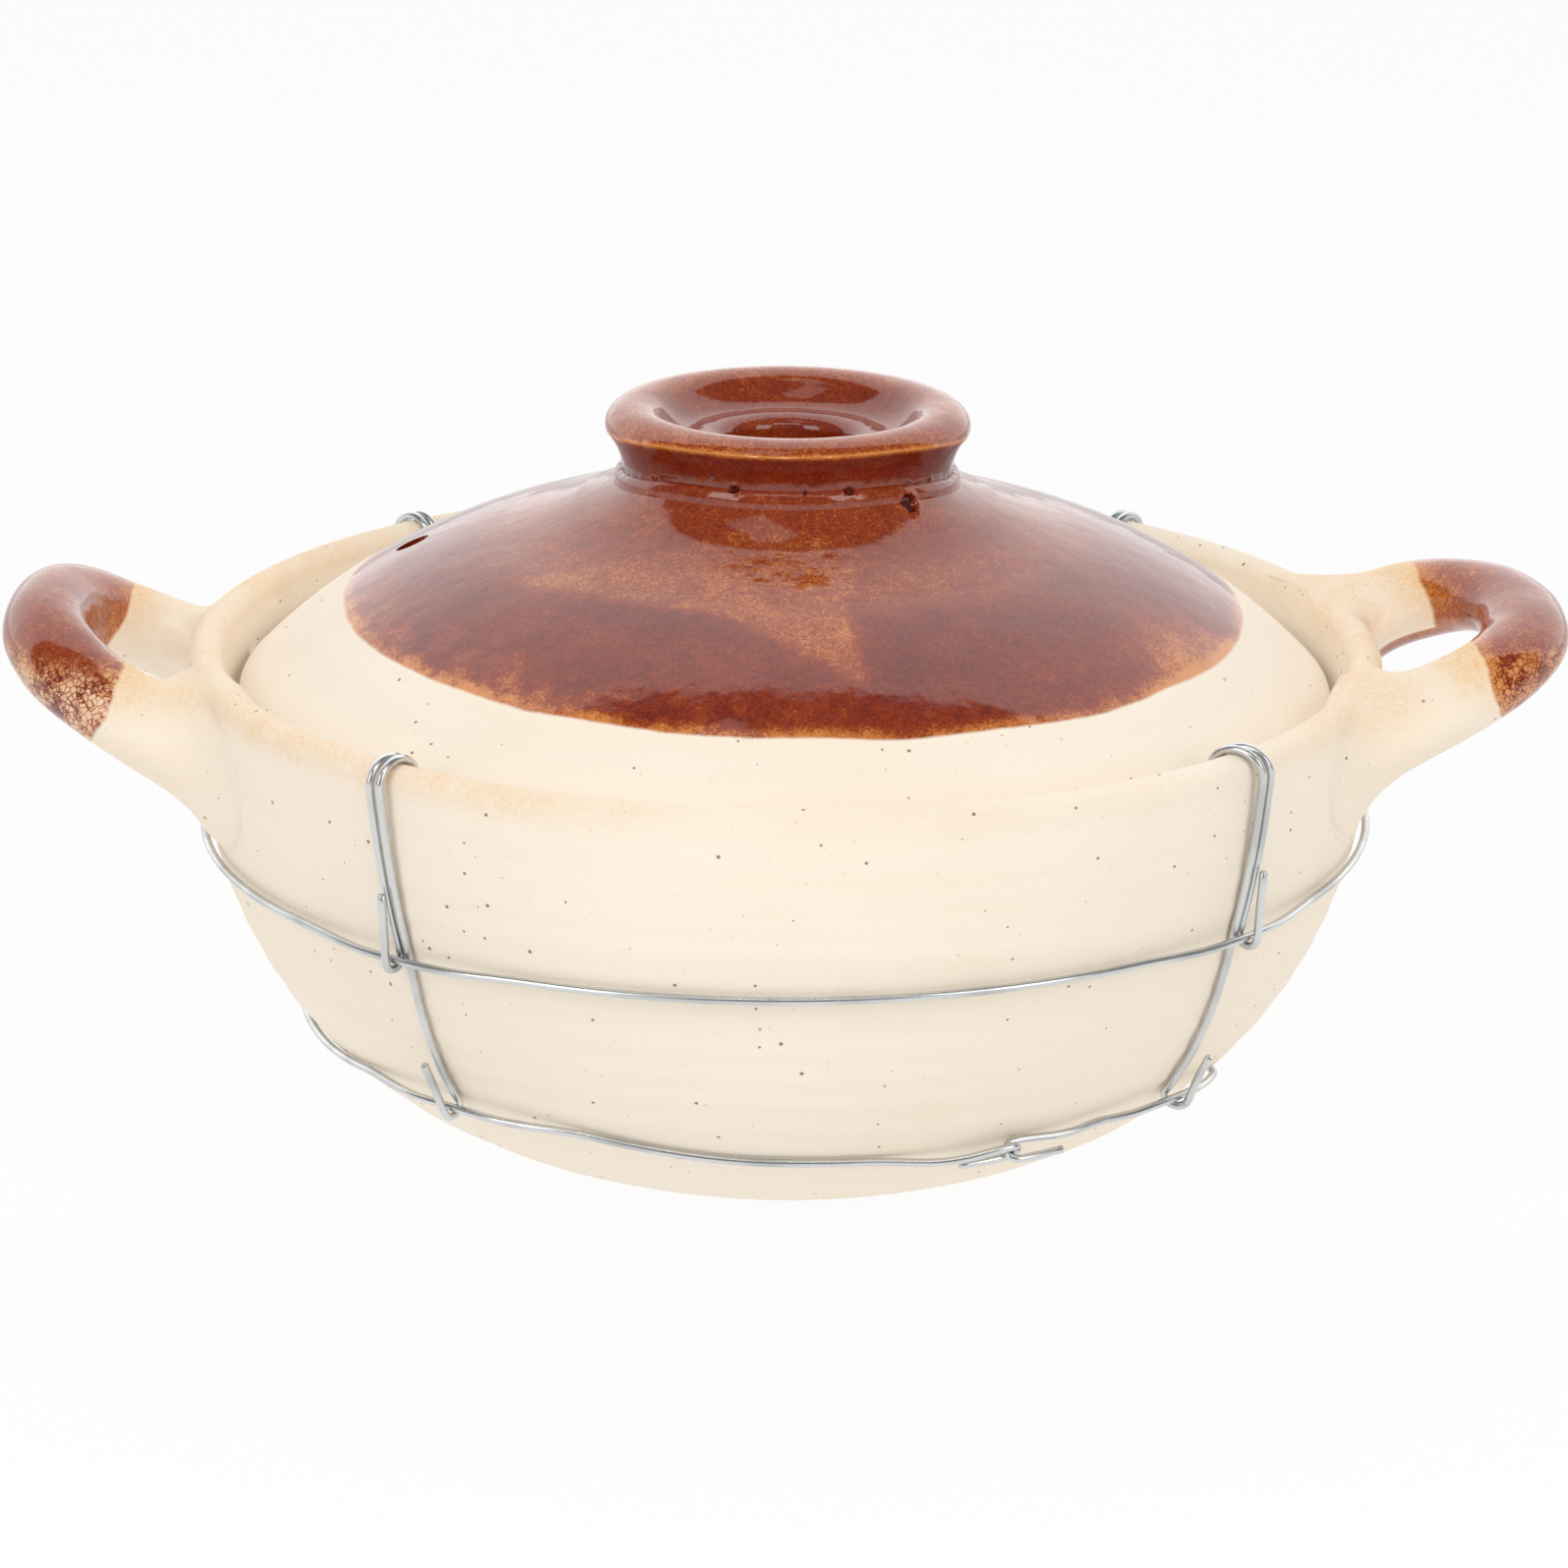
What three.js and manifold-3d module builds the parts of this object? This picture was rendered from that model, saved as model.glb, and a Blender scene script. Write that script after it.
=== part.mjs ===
// A hand-thrown clay casserole braced by a cage of galvanised wire.
// The bowl has two luted loop handles and an inner gallery that a domed lid drops into. The lid has a
// steam vent and a luted ring knob. Two wire hoops lie round the bowl and four hangers, each bent from
// one wire, hook over the rim and under both hoops.
// Millimetres, +Z up, origin at the middle of the flat base. The handles point along X.

import * as THREE from 'three';
import { mergeVertices } from 'three/addons/utils/BufferGeometryUtils.js';
import Module from 'manifold-3d';

const wasm = await Module();
wasm.setup();

// Bowl
const FOOT_RADIUS = 46.5; // flat base
const BOWL_RADIUS = 120.4; // outside of the rim
const RIM_HEIGHT = 104.4; // crest of the rim above the table
const RIM_ROUND = 3.4; // radius of the rounded rim edge
const BOWL_WALL = 8; // thickness of the side
const BOWL_FLOOR = 9; // thickness of the base
const FOOT_SLOPE = 20.6; // degrees at which the side leaves the table
const FOOT_PULL = 25.6; // how far it holds that slope before it curves
const BELLY_SHARE = 0.8; // share of the height over which the side swings upright
const BELLY_LEAN = 2; // how far the side leans out just under the rim

// Gallery that the lid drops into
const GALLERY_WALL = 8.4; // clay left outside the gallery
const SEAT_DEPTH = 14.4; // crest of the rim down to the seat
const SEAT_WIDTH = 11.4; // width of the seat
const SEAT_FILLET = 2; // hollow corner between seat and gallery wall
const SEAT_CHAMFER = 1; // worn inner edge of the seat
const LEDGE = 5; // thickness of the seat's inner edge

// Lid
const LID_PLAY = 1.6; // radial gap between lid and gallery
const LID_LIFT = 0.3; // gap between the lid and its seat
const LID_EDGE = 3.5; // radius of the rounded edge
const LID_RISE = 38; // height of the dome above its edge
const LID_WALL = 7; // thickness of the dome
const LID_FLAT = 9; // width of the edge's underside
const VENT_DIAMETER = 6.6; // steam vent
const VENT_INSET = 33.5; // vent's distance in from the lid's edge
const VENT_AZIMUTH = 172; // degrees from +X

// Ring knob
const KNOB_RADIUS = 36.6; // outside of the rolled lip
const KNOB_HEIGHT = 19; // above the crown of the dome
const LIP_WIDTH = 11.8; // of the rolled lip, from outside to inside
const LIP_ROUND = 4.2; // height of the lip's rounded upper half
const LIP_TURN = 40; // degrees that the lip's round goes on below its middle, to a sharp edge
const NECK_INSET = 3.4; // neck's distance in from the lip
const NECK_SHARE = 0.36; // height of the narrowest neck, as a share of the knob's height
const BEAD_HEIGHT = 2.6; // bead of slip below the neck
const BEAD_SWELL = 1.6; // how far the bead stands out from the neck
const KNOB_FOOT = 13.4; // how far the luted foot spreads out past the lip
const FOOT_HOLLOW = 4; // from the bead out to the foot's hollow corner
const FOOT_FILL = 2; // height of that corner above the dome
const DISH_TURN = 150; // degrees, from the outside, at which the lip's round runs into the dish
const DISH_DEPTH = 6.2; // crest of the lip down to the floor of the dish
const DISH_INSET = 5.8; // from the lip's inner side to where the dish is flat
const HOLE_INSET = 11; // and to the hole in the middle of the dish
const HOLE_ROUND = 3.4; // rounding of the hole's upper edge
const HOLE_TAPER = 1.5; // how far the hole narrows down to the dome

// Loop handles
const COIL_WIDTH = 17.5; // of the flattened clay coil
const COIL_DEPTH = 15.5;
const HANDLE_REACH = 37.4; // rim to the outside of the loop
const HANDLE_SPREAD = 75; // between the middles of a loop's two roots
const HANDLE_SQUARENESS = 2.5; // 2 is an ellipse seen from above, more is squarer
const ROOT_SPREAD = 3.4; // how far the coil widens at a root, each way
const ROOT_SMEAR = 2.6; // how far it deepens there, each way
const LUTE = 0.3; // seam of slip between a luted piece and what carries it

// The two handles are pulled by hand and differ.
const RIGHT_TIP_RISE = 4; // middle of the right coil above the rim crest, at the tip
const RIGHT_FRONT_DROP = 13; // and below the crest at its front root
const RIGHT_BACK_DROP = 18.5; // and at its back root
const RIGHT_BACK_BULGE = 0.95; // how much sooner than its reach the back arm climbs
const RIGHT_BACK_SQUARENESS = 2.05; // rounder than the other arms
const RIGHT_TIP_SWELL = -1; // how much deeper the right coil is at its tip, each way
const LEFT_TIP_RISE = 1;
const LEFT_FRONT_DROP = 20;
const LEFT_BACK_DROP = 23.6;
const LEFT_BACK_BULGE = -0.35; // it climbs later
const LEFT_TIP_SWELL = 1.3;

// Wire cage
const WIRE = 1.6; // diameter of the wire
const WIRE_GAP = 0.35; // between wires, and between wire and clay
const HOOP_BELOW_ROOTS = 2.6; // lowest handle root down to the upper hoop
const UPPER_HOOP_DROP = -1.1; // how much lower the hoop lies at +X, and higher at -X
const UPPER_HOOP_SLACK = 0.6; // extra room between hoop and clay, away from the hangers
const UPPER_JOINT_AZIMUTH = 100; // degrees from +X
const LOWER_HOOP_HEIGHT = 28; // above the table, half-way between hangers
const LOWER_HOOP_DROP = 1.5;
const LOWER_HOOP_LIFT = 5.2; // how far the hangers pull it up where they hold it
const LOWER_HOOP_SAG = 7; // how far it hangs down between the two hangers on the right
const SAG_AZIMUTH = 4; // degrees, its lowest point there
const SAG_SPAN = 40; // degrees to each side
const LOWER_JOINT_AZIMUTH = 296.5;
const HOOP_LIFT_SPAN = 60; // how far from a hanger the pull fades out
const HOOP_HOLD = 7; // how far each side of a strand a hoop stands clear of it
const HOOP_SWELL = 28; // and how far away it lies on the clay again
const HOOP_TAIL = 9; // wire left past a hoop's end hook
const TAIL_FALL = 1; // how far the end that lies in front droops
const HOOP_EASE = 16; // length over which a hoop runs into its end hook
const STRAND_GAP = 0.7; // between the two strands of a hanger at the rim
const RIM_SLACK = 1.2; // air outside the rim where a hanger crosses it
const HAIRPIN_DROP = 7; // rim crest down to the hanger's hairpin inside
const STRAND_PART = 2.1; // between the two strands of a hanger at the upper hoop
const UPPER_TAIL = 14; // wire left past a hanger's upper hook
const LOWER_TAIL = 13.5; // wire left past a hanger's lower hook
const UPPER_HOOK_SPREAD = 0.4; // how far an upper hook opens sideways

// Each hanger's azimuth outside the rim, inside it, at the upper hoop and at the lower hoop, in degrees
// from +X, the side, +1 along rising azimuth, on which its short strand hangs, which is the one nearer a
// handle, and how far its lower hook opens sideways.
const HANGERS = [
  { name: 'hanger_front_left', rim: 231.6, inside: 231.6, waist: 232.7, foot: 232.6, side: -1, spread: 0.6 },
  { name: 'hanger_front_right', rim: 317.9, inside: 316, waist: 317.4, foot: 318, side: 1, spread: 3.4 },
  { name: 'hanger_back_right', rim: 51.5, inside: 51.5, waist: 50.8, foot: 50, side: -1, spread: 0.8 },
  { name: 'hanger_back_left', rim: 133, inside: 133, waist: 133.6, foot: 134, side: 1, spread: 0.8 },
];

// Facets
const AROUND = 56; // round the bowl and the lid
const KNOB_AROUND = 36;
const SIDE_STEPS = 10; // up the side of the bowl
const DOME_STEPS = 9;
const RIM_STEPS = 6; // an even number, so that one ring lies on the crest
const ROUND_STEPS = 5; // round an edge or a hook
const VENT_SIDES = 16;
const COIL_SIDES = 14;
const COIL_STEPS = 20;
const WIRE_SIDES = 8;
const HOOP_STEPS = 56;
const EASE_RINGS = [0.25, 0.5, 0.75, 1]; // rings along a hoop's run into its hook, as shares of the way
const LONG_RINGS = [0.15, 0.3, 0.45, 0.6, 0.8, 1]; // along a strand from the lower hoop to the upper
const RIM_RINGS = [0.3, 0.6, 0.85]; // from the upper hoop to the rim
const SHORT_RINGS = [0.15, 0.4, 0.7]; // from the rim down to the upper hoop
const HALVINGS = 40; // steps of the search for a height on the side

// The drops, bulges and squareness of each handle's arms, in the order of their azimuth.
const HANDLES = [
  {
    name: 'handle_right',
    azimuth: 0,
    tipRise: RIGHT_TIP_RISE,
    drops: [RIGHT_FRONT_DROP, RIGHT_BACK_DROP],
    bulges: [0, RIGHT_BACK_BULGE],
    squareness: [HANDLE_SQUARENESS, RIGHT_BACK_SQUARENESS],
    tipSwell: RIGHT_TIP_SWELL,
  },
  {
    name: 'handle_left',
    azimuth: 180,
    tipRise: LEFT_TIP_RISE,
    drops: [LEFT_BACK_DROP, LEFT_FRONT_DROP],
    bulges: [LEFT_BACK_BULGE, 0],
    squareness: [HANDLE_SQUARENESS, HANDLE_SQUARENESS],
    tipSwell: LEFT_TIP_SWELL,
  },
];

// Worked-out places
const rimCentre = new THREE.Vector2(BOWL_RADIUS - RIM_ROUND, RIM_HEIGHT - RIM_ROUND);
const galleryRadius = BOWL_RADIUS - GALLERY_WALL;
const seatHeight = RIM_HEIGHT - SEAT_DEPTH;
const seatInner = galleryRadius - SEAT_WIDTH;
const lidRadius = galleryRadius - LID_PLAY;
const lidBottom = seatHeight + LID_LIFT;
const deepestDrop = Math.max(...HANDLES.flatMap((h) => h.drops));
const lowestRoot = RIM_HEIGHT - deepestDrop - COIL_DEPTH / 2 - ROOT_SMEAR;
const wireRest = WIRE / 2 + WIRE_GAP; // clay to the middle of a wire that lies on it
const hookRadius = WIRE + WIRE_GAP; // bend of a wire round another wire
const swollen = wireRest + hookRadius; // clay to the middle of a hoop, with a strand behind it
const upperHoop = {
  name: 'upper_hoop',
  height: lowestRoot - HOOP_BELOW_ROOTS,
  drop: UPPER_HOOP_DROP,
  lift: 0,
  sag: 0,
  slack: UPPER_HOOP_SLACK,
  joint: THREE.MathUtils.degToRad(UPPER_JOINT_AZIMUTH),
  strands: HANGERS.map((h) => THREE.MathUtils.degToRad(h.waist)),
};
const lowerHoop = {
  name: 'lower_hoop',
  height: LOWER_HOOP_HEIGHT,
  drop: LOWER_HOOP_DROP,
  lift: LOWER_HOOP_LIFT,
  sag: LOWER_HOOP_SAG,
  slack: 0,
  joint: THREE.MathUtils.degToRad(LOWER_JOINT_AZIMUTH),
  strands: HANGERS.map((h) => THREE.MathUtils.degToRad(h.foot)),
};

const clay = { color: 0xefdcbc, roughness: 0.85, metalness: 0 };
const dippedClay = { color: 0xc58d5a, roughness: 0.5, metalness: 0 };
const brownGlaze = { color: 0x5e1f10, roughness: 0.15, metalness: 0 };
const galvanised = { color: 0xa9adb0, roughness: 0.35, metalness: 1 };

function sub(name, geometry, finish) {
  const mesh = new THREE.Mesh(geometry, new THREE.MeshStandardMaterial(finish));
  mesh.name = name;
  return mesh;
}

// Solid from a closed geometry, with the triangles that welding flattens left out.
function solid(geometry) {
  const bare = geometry.clone();
  bare.deleteAttribute('normal');
  bare.deleteAttribute('uv');
  const welded = mergeVertices(bare, 1e-3);
  const corners = welded.index.array;
  const triVerts = [];
  for (let i = 0; i < corners.length; i += 3) {
    const [a, b, c] = corners.slice(i, i + 3);
    if (a !== b && b !== c && c !== a) {
      triVerts.push(a, b, c);
    }
  }
  return new wasm.Manifold(new wasm.Mesh({
    numProp: 3,
    vertProperties: new Float32Array(welded.attributes.position.array),
    triVerts: new Uint32Array(triVerts),
  }));
}

function cut(geometry, tool) {
  const mesh = solid(geometry).subtract(solid(tool)).getMesh();
  const left = new THREE.BufferGeometry();
  left.setAttribute('position', new THREE.BufferAttribute(mesh.vertProperties, 3));
  left.setIndex(new THREE.BufferAttribute(mesh.triVerts, 1));
  left.computeVertexNormals();
  return left;
}

function flat(radius, height) {
  return new THREE.Vector2(radius, height);
}

function arc(centre, across, up, from, to, steps = ROUND_STEPS) {
  return new THREE.EllipseCurve(centre.x, centre.y, across, up, from, to, to < from).getPoints(steps);
}

function revolve(profile, around) {
  return new THREE.LatheGeometry(profile, around).rotateX(Math.PI / 2);
}

function polar(azimuth, radius, height) {
  return new THREE.Vector3(radius * Math.cos(azimuth), radius * Math.sin(azimuth), height);
}

// The bowl's side: it springs from the foot at a low angle and swings upright under the rim.
const footSlope = THREE.MathUtils.degToRad(FOOT_SLOPE);
const side = new THREE.CubicBezierCurve(
  flat(FOOT_RADIUS, 0),
  flat(FOOT_RADIUS + FOOT_PULL * Math.cos(footSlope), FOOT_PULL * Math.sin(footSlope)),
  flat(BOWL_RADIUS - BELLY_LEAN, rimCentre.y * (1 - BELLY_SHARE)),
  flat(BOWL_RADIUS, rimCentre.y),
);

// Point of the side a share of the way up it, moved out of the clay.
function sidePoint(share, out) {
  const along = side.getTangent(share);
  return side.getPoint(share).add(flat(along.y, -along.x).multiplyScalar(out));
}

// Share of the way up the side at which it reaches a height.
function sideShare(height) {
  let low = 0;
  let high = 1;
  for (let i = 0; i < HALVINGS; i += 1) {
    const middle = (low + high) / 2;
    if (side.getPoint(middle).y < height) {
      low = middle;
    } else {
      high = middle;
    }
  }
  return low;
}

// Point at an azimuth and height on the side, moved out of the clay and up along it.
function spot(azimuth, height, out, up = 0) {
  const share = sideShare(height);
  const point = sidePoint(share, out).add(side.getTangent(share).multiplyScalar(up));
  return polar(azimuth, point.x, point.y);
}

function sidePoints(out) {
  return Array.from({ length: SIDE_STEPS + 1 }, (_, i) => sidePoint(i / SIDE_STEPS, out));
}

function bowlProfile() {
  const ledgeFoot = seatHeight - LEDGE;
  const inside = sidePoints(-BOWL_WALL).reverse();
  const belowLedge = inside.filter((p) => p.y < ledgeFoot - (p.x - seatInner) && p.y > BOWL_FLOOR);
  const floorRadius = sidePoint(sideShare(BOWL_FLOOR), -BOWL_WALL).x;
  return [
    flat(0, 0),
    ...sidePoints(0),
    ...arc(rimCentre, RIM_ROUND, RIM_ROUND, 0, Math.PI, RIM_STEPS).slice(1),
    flat(galleryRadius, seatHeight + SEAT_FILLET),
    flat(galleryRadius - SEAT_FILLET, seatHeight),
    flat(seatInner + SEAT_CHAMFER, seatHeight),
    flat(seatInner, seatHeight - SEAT_CHAMFER),
    flat(seatInner, ledgeFoot),
    ...belowLedge,
    flat(Math.min(floorRadius, FOOT_RADIUS), BOWL_FLOOR),
    flat(0, BOWL_FLOOR),
  ];
}

// The bowl filled in and grown by the luting seam, which the handles' roots are cut to.
function bowlEnvelope() {
  const round = RIM_ROUND + LUTE;
  return revolve([
    flat(0, 0),
    ...sidePoints(LUTE),
    ...arc(rimCentre, round, round, 0, Math.PI / 2, RIM_STEPS / 2).slice(1),
    flat(0, RIM_HEIGHT + LUTE),
  ], AROUND);
}

// Joins rings of points, all in the same order, into a closed skin.
function loft(rings) {
  const count = rings[0].length;
  const last = (rings.length - 1) * count;
  const index = [];
  for (let i = 0; i < last; i += count) {
    for (let j = 0; j < count; j += 1) {
      const k = (j + 1) % count;
      index.push(i + j, i + k, i + count + j);
      index.push(i + k, i + count + k, i + count + j);
    }
  }
  for (let j = 1; j + 1 < count; j += 1) {
    index.push(0, j + 1, j);
    index.push(last, last + j, last + j + 1);
  }
  const skin = new THREE.BufferGeometry();
  const points = rings.flat();
  skin.setAttribute('position', new THREE.Float32BufferAttribute(points.flatMap((p) => p.toArray()), 3));
  skin.setIndex(index);
  skin.computeVertexNormals();
  return skin;
}

// Middle of a loop handle's coil on the +X side: two legs out of the wall, joined by a rounded end
// that climbs to the tip. The turn runs from -1 at one root, deep in the wall, to 1 at the other.
function coilMiddle(turn, { tipRise, drops, bulges, squareness }) {
  const legs = 0.22;
  const half = HANDLE_SPREAD / 2;
  const rootX = Math.sqrt(BOWL_RADIUS ** 2 - half ** 2) - COIL_WIDTH / 2;
  const tipX = BOWL_RADIUS + HANDLE_REACH - COIL_WIDTH / 2;
  const angle = THREE.MathUtils.clamp(turn / (1 - legs), -1, 1) * Math.PI / 2;
  const sunk = Math.max(0, Math.abs(turn) - (1 - legs)) / legs;
  const arm = turn < 0 ? 0 : 1;
  const power = 2 / squareness[arm];
  const out = Math.cos(angle) ** power;
  const x = rootX + (tipX - rootX) * out - (COIL_WIDTH + ROOT_SPREAD) * sunk;
  const y = half * Math.sign(angle) * Math.abs(Math.sin(angle)) ** power;
  const climb = out * (1 + bulges[arm] * (1 - out));
  const z = RIM_HEIGHT + THREE.MathUtils.lerp(-drops[arm], tipRise, climb);
  return { middle: new THREE.Vector3(x, y, z), out };
}

function handle(spec) {
  const rings = [];
  for (let i = 0; i <= COIL_STEPS; i += 1) {
    const turn = 2 * i / COIL_STEPS - 1;
    const { middle, out } = coilMiddle(turn, spec);
    const nearby = 0.02;
    const ahead = coilMiddle(turn + nearby, spec).middle;
    const along = ahead.sub(coilMiddle(turn - nearby, spec).middle).normalize();
    const across = new THREE.Vector3(0, 0, 1).cross(along).normalize();
    const up = along.clone().cross(across);
    const root = (1 - out) ** 2;
    const wide = COIL_WIDTH / 2 + ROOT_SPREAD * root;
    const deep = COIL_DEPTH / 2 + ROOT_SMEAR * root + spec.tipSwell * out ** 4;
    rings.push(Array.from({ length: COIL_SIDES }, (_, j) => {
      const angle = 2 * Math.PI * j / COIL_SIDES;
      return middle.clone()
        .addScaledVector(across, wide * Math.cos(angle))
        .addScaledVector(up, deep * Math.sin(angle));
    }));
  }
  return cut(loft(rings), bowlEnvelope());
}

// The dome falls away with the square and the fourth power of the radius: flat on top, steep at its edge.
const edgeSlope = Math.atan(3 * LID_RISE / lidRadius);
const edgeCentre = flat(lidRadius - LID_EDGE, lidBottom + LID_EDGE);
const edgeOut = flat(Math.sin(edgeSlope), Math.cos(edgeSlope));
const shoulder = edgeCentre.clone().addScaledVector(edgeOut, LID_EDGE);

function domeFall(radius) {
  const share = (radius / lidRadius) ** 2;
  return LID_RISE * (share + share ** 2) / 2;
}

const crown = shoulder.y + domeFall(shoulder.x);

function domePoint(radius, depth = 0) {
  const share = radius / lidRadius;
  const slope = LID_RISE * (share + 2 * share ** 3) / lidRadius;
  const inward = flat(-slope, -1).normalize();
  return flat(radius, crown - domeFall(radius)).addScaledVector(inward, depth);
}

function lid() {
  const radii = Array.from({ length: DOME_STEPS + 1 }, (_, i) => shoulder.x * i / DOME_STEPS);
  const flatInner = lidRadius - LID_FLAT;
  const outside = radii.map((r) => domePoint(r));
  const inside = radii.map((r) => domePoint(r, LID_WALL)).filter((p) => p.x < flatInner);
  const shell = revolve([
    flat(0, inside[0].y),
    ...inside.slice(1),
    flat(flatInner, lidBottom),
    ...arc(edgeCentre, LID_EDGE, LID_EDGE, -Math.PI / 2, Math.PI / 2 - edgeSlope),
    ...outside.reverse().slice(1),
  ], AROUND);
  const vent = new THREE.CylinderGeometry(VENT_DIAMETER / 2, VENT_DIAMETER / 2, 2 * LID_RISE, VENT_SIDES);
  const place = polar(THREE.MathUtils.degToRad(VENT_AZIMUTH), lidRadius - VENT_INSET, crown);
  vent.rotateX(Math.PI / 2).translate(place.x, place.y, place.z);
  return cut(shell, vent);
}

function knob() {
  const top = crown + KNOB_HEIGHT;
  const lip = flat(KNOB_RADIUS - LIP_WIDTH / 2, top - LIP_ROUND);
  const lipTurn = THREE.MathUtils.degToRad(LIP_TURN);
  const dishTurn = THREE.MathUtils.degToRad(DISH_TURN);
  const rolled = arc(lip, LIP_WIDTH / 2, LIP_ROUND, -lipTurn, dishTurn, 2 * ROUND_STEPS);
  const edge = rolled[0];
  const brow = rolled.at(-1);
  const within = KNOB_RADIUS - LIP_WIDTH;
  const shelf = top - DISH_DEPTH;
  const browSlope = LIP_ROUND / LIP_WIDTH * 2 / -Math.tan(dishTurn);
  const dishEnd = flat(within - DISH_INSET, shelf);
  const holeTop = flat(within - HOLE_INSET, shelf - HOLE_ROUND);
  const footOut = KNOB_RADIUS + KNOB_FOOT;
  const footIn = holeTop.x - HOLE_TAPER;
  const onDome = (radius) => domePoint(radius, -LUTE);
  const neck = flat(KNOB_RADIUS - NECK_INSET, crown + KNOB_HEIGHT * NECK_SHARE);
  const beadFoot = flat(neck.x + BEAD_SWELL, neck.y - BEAD_HEIGHT);
  const bead = new THREE.QuadraticBezierCurve(beadFoot, flat(beadFoot.x, neck.y), neck);
  const hollow = onDome(beadFoot.x + FOOT_HOLLOW).add(flat(0, FOOT_FILL));
  const foot = new THREE.QuadraticBezierCurve(onDome(footOut), hollow, beadFoot);
  const throat = new THREE.QuadraticBezierCurve(neck, flat(neck.x, (neck.y + edge.y) / 2), edge);
  const dishCorner = flat(brow.x - (brow.y - shelf) / browSlope, shelf);
  const dish = new THREE.QuadraticBezierCurve(brow, dishCorner, dishEnd);
  const brink = new THREE.QuadraticBezierCurve(dishEnd, flat(holeTop.x, shelf), holeTop);
  const sole = new THREE.LineCurve(flat(footIn, 0), flat(footOut, 0)).getPoints(ROUND_STEPS);
  return revolve([
    ...sole.map((p) => onDome(p.x)),
    ...foot.getPoints(ROUND_STEPS - 1).slice(1),
    ...bead.getPoints(3).slice(1),
    ...throat.getPoints(2).slice(1, -1),
    ...rolled,
    ...dish.getPoints(3).slice(1),
    ...brink.getPoints(3).slice(1),
    onDome(footIn),
  ], KNOB_AROUND);
}

// A bent wire has a ring at each of its points, which lie close in its bends and far apart in its runs.
class BentWire extends THREE.CatmullRomCurve3 {
  getPointAt(share, target) {
    return this.getPoint(share, target);
  }

  getTangentAt(share, target) {
    return this.getTangent(share, target);
  }
}

function wire(points) {
  const section = new THREE.Shape();
  for (let i = 0; i < WIRE_SIDES; i += 1) {
    const angle = 2 * Math.PI * i / WIRE_SIDES;
    const corner = flat(Math.cos(angle), Math.sin(angle)).multiplyScalar(WIRE / 2);
    if (i === 0) {
      section.moveTo(corner.x, corner.y);
    } else {
      section.lineTo(corner.x, corner.y);
    }
  }
  const path = new BentWire(points, false, 'centripetal');
  return new THREE.ExtrudeGeometry(section, {
    steps: points.length - 1,
    bevelEnabled: false,
    extrudePath: path,
  });
}

function sideRadius(height) {
  return side.getPoint(sideShare(height)).x;
}

// Distance round a hoop from an azimuth to the nearest of some places.
function distanceTo(places, ring, azimuth) {
  const apart = places.map((place) => Math.abs(Math.sin((azimuth - place) / 2)));
  return 2 * sideRadius(ring.height) * Math.min(...apart);
}

// Height at which a hoop lies on the clay: tilted, and pulled up by its hangers.
function hoopHeight(ring, azimuth) {
  const slack = THREE.MathUtils.smoothstep(distanceTo(ring.strands, ring, azimuth), 0, HOOP_LIFT_SPAN);
  const fromSag = azimuth - THREE.MathUtils.degToRad(SAG_AZIMUTH);
  const sagEnd = Math.cos(THREE.MathUtils.degToRad(SAG_SPAN));
  const sag = ring.sag * THREE.MathUtils.smoothstep(Math.cos(fromSag), sagEnd, 1);
  return ring.height - ring.drop * Math.cos(azimuth) + ring.lift * (1 - slack) - sag;
}

// Clay to the middle of a hoop: it lies on the bowl and swells out over each strand and its own joint.
function hoopRest(ring, azimuth) {
  const distance = distanceTo([...ring.strands, ring.joint], ring, azimuth);
  const lying = THREE.MathUtils.smoothstep(distance, HOOP_HOLD, HOOP_SWELL);
  return THREE.MathUtils.lerp(swollen, wireRest + ring.slack, lying);
}

const halfTurn = Array.from({ length: ROUND_STEPS + 1 }, (_, i) => Math.PI * i / ROUND_STEPS);

// One wire round the bowl. Its ends are bent back into two hooks, square to each other, that hold one
// another: the first lies flat against the side, the last stands up along it.
function hoop(spec) {
  const radius = sideRadius(spec.height) + swollen;
  const place = (along, out, up) => {
    const azimuth = spec.joint + along / radius;
    return spot(azimuth, hoopHeight(spec, azimuth), hoopRest(spec, azimuth) + out, up);
  };
  const reach = hookRadius / 2;
  const ease = (share) => THREE.MathUtils.smoothstep(share, 0, 1);
  const first = [
    place(reach + HOOP_TAIL, hookRadius, -TAIL_FALL),
    place(reach + HOOP_TAIL / 2, hookRadius, -TAIL_FALL / 2),
    ...halfTurn.map((a) => place(reach - hookRadius * Math.sin(a), hookRadius * Math.cos(a), 0)),
    ...EASE_RINGS.map((s) => place(reach + s * HOOP_EASE, hookRadius * (ease(s) - 1), 0)),
  ];
  const turn = 2 * Math.PI * radius;
  const start = reach + HOOP_EASE;
  const round = Array.from({ length: HOOP_STEPS - 1 }, (_, i) => (
    place(THREE.MathUtils.lerp(start, turn - start, (i + 1) / HOOP_STEPS), 0, 0)
  ));
  const last = [
    ...EASE_RINGS.toReversed().map((s) => (
      place(turn - reach - s * HOOP_EASE, 0, hookRadius * (1 - ease(s)))
    )),
    ...halfTurn.map((a) => place(turn - reach + hookRadius * Math.sin(a), 0, hookRadius * Math.cos(a))),
    place(turn - reach - HOOP_TAIL / 2, 0, -hookRadius),
    place(turn - reach - HOOP_TAIL, 0, -hookRadius),
  ];
  return wire([...first, ...round, ...last]);
}

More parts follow.
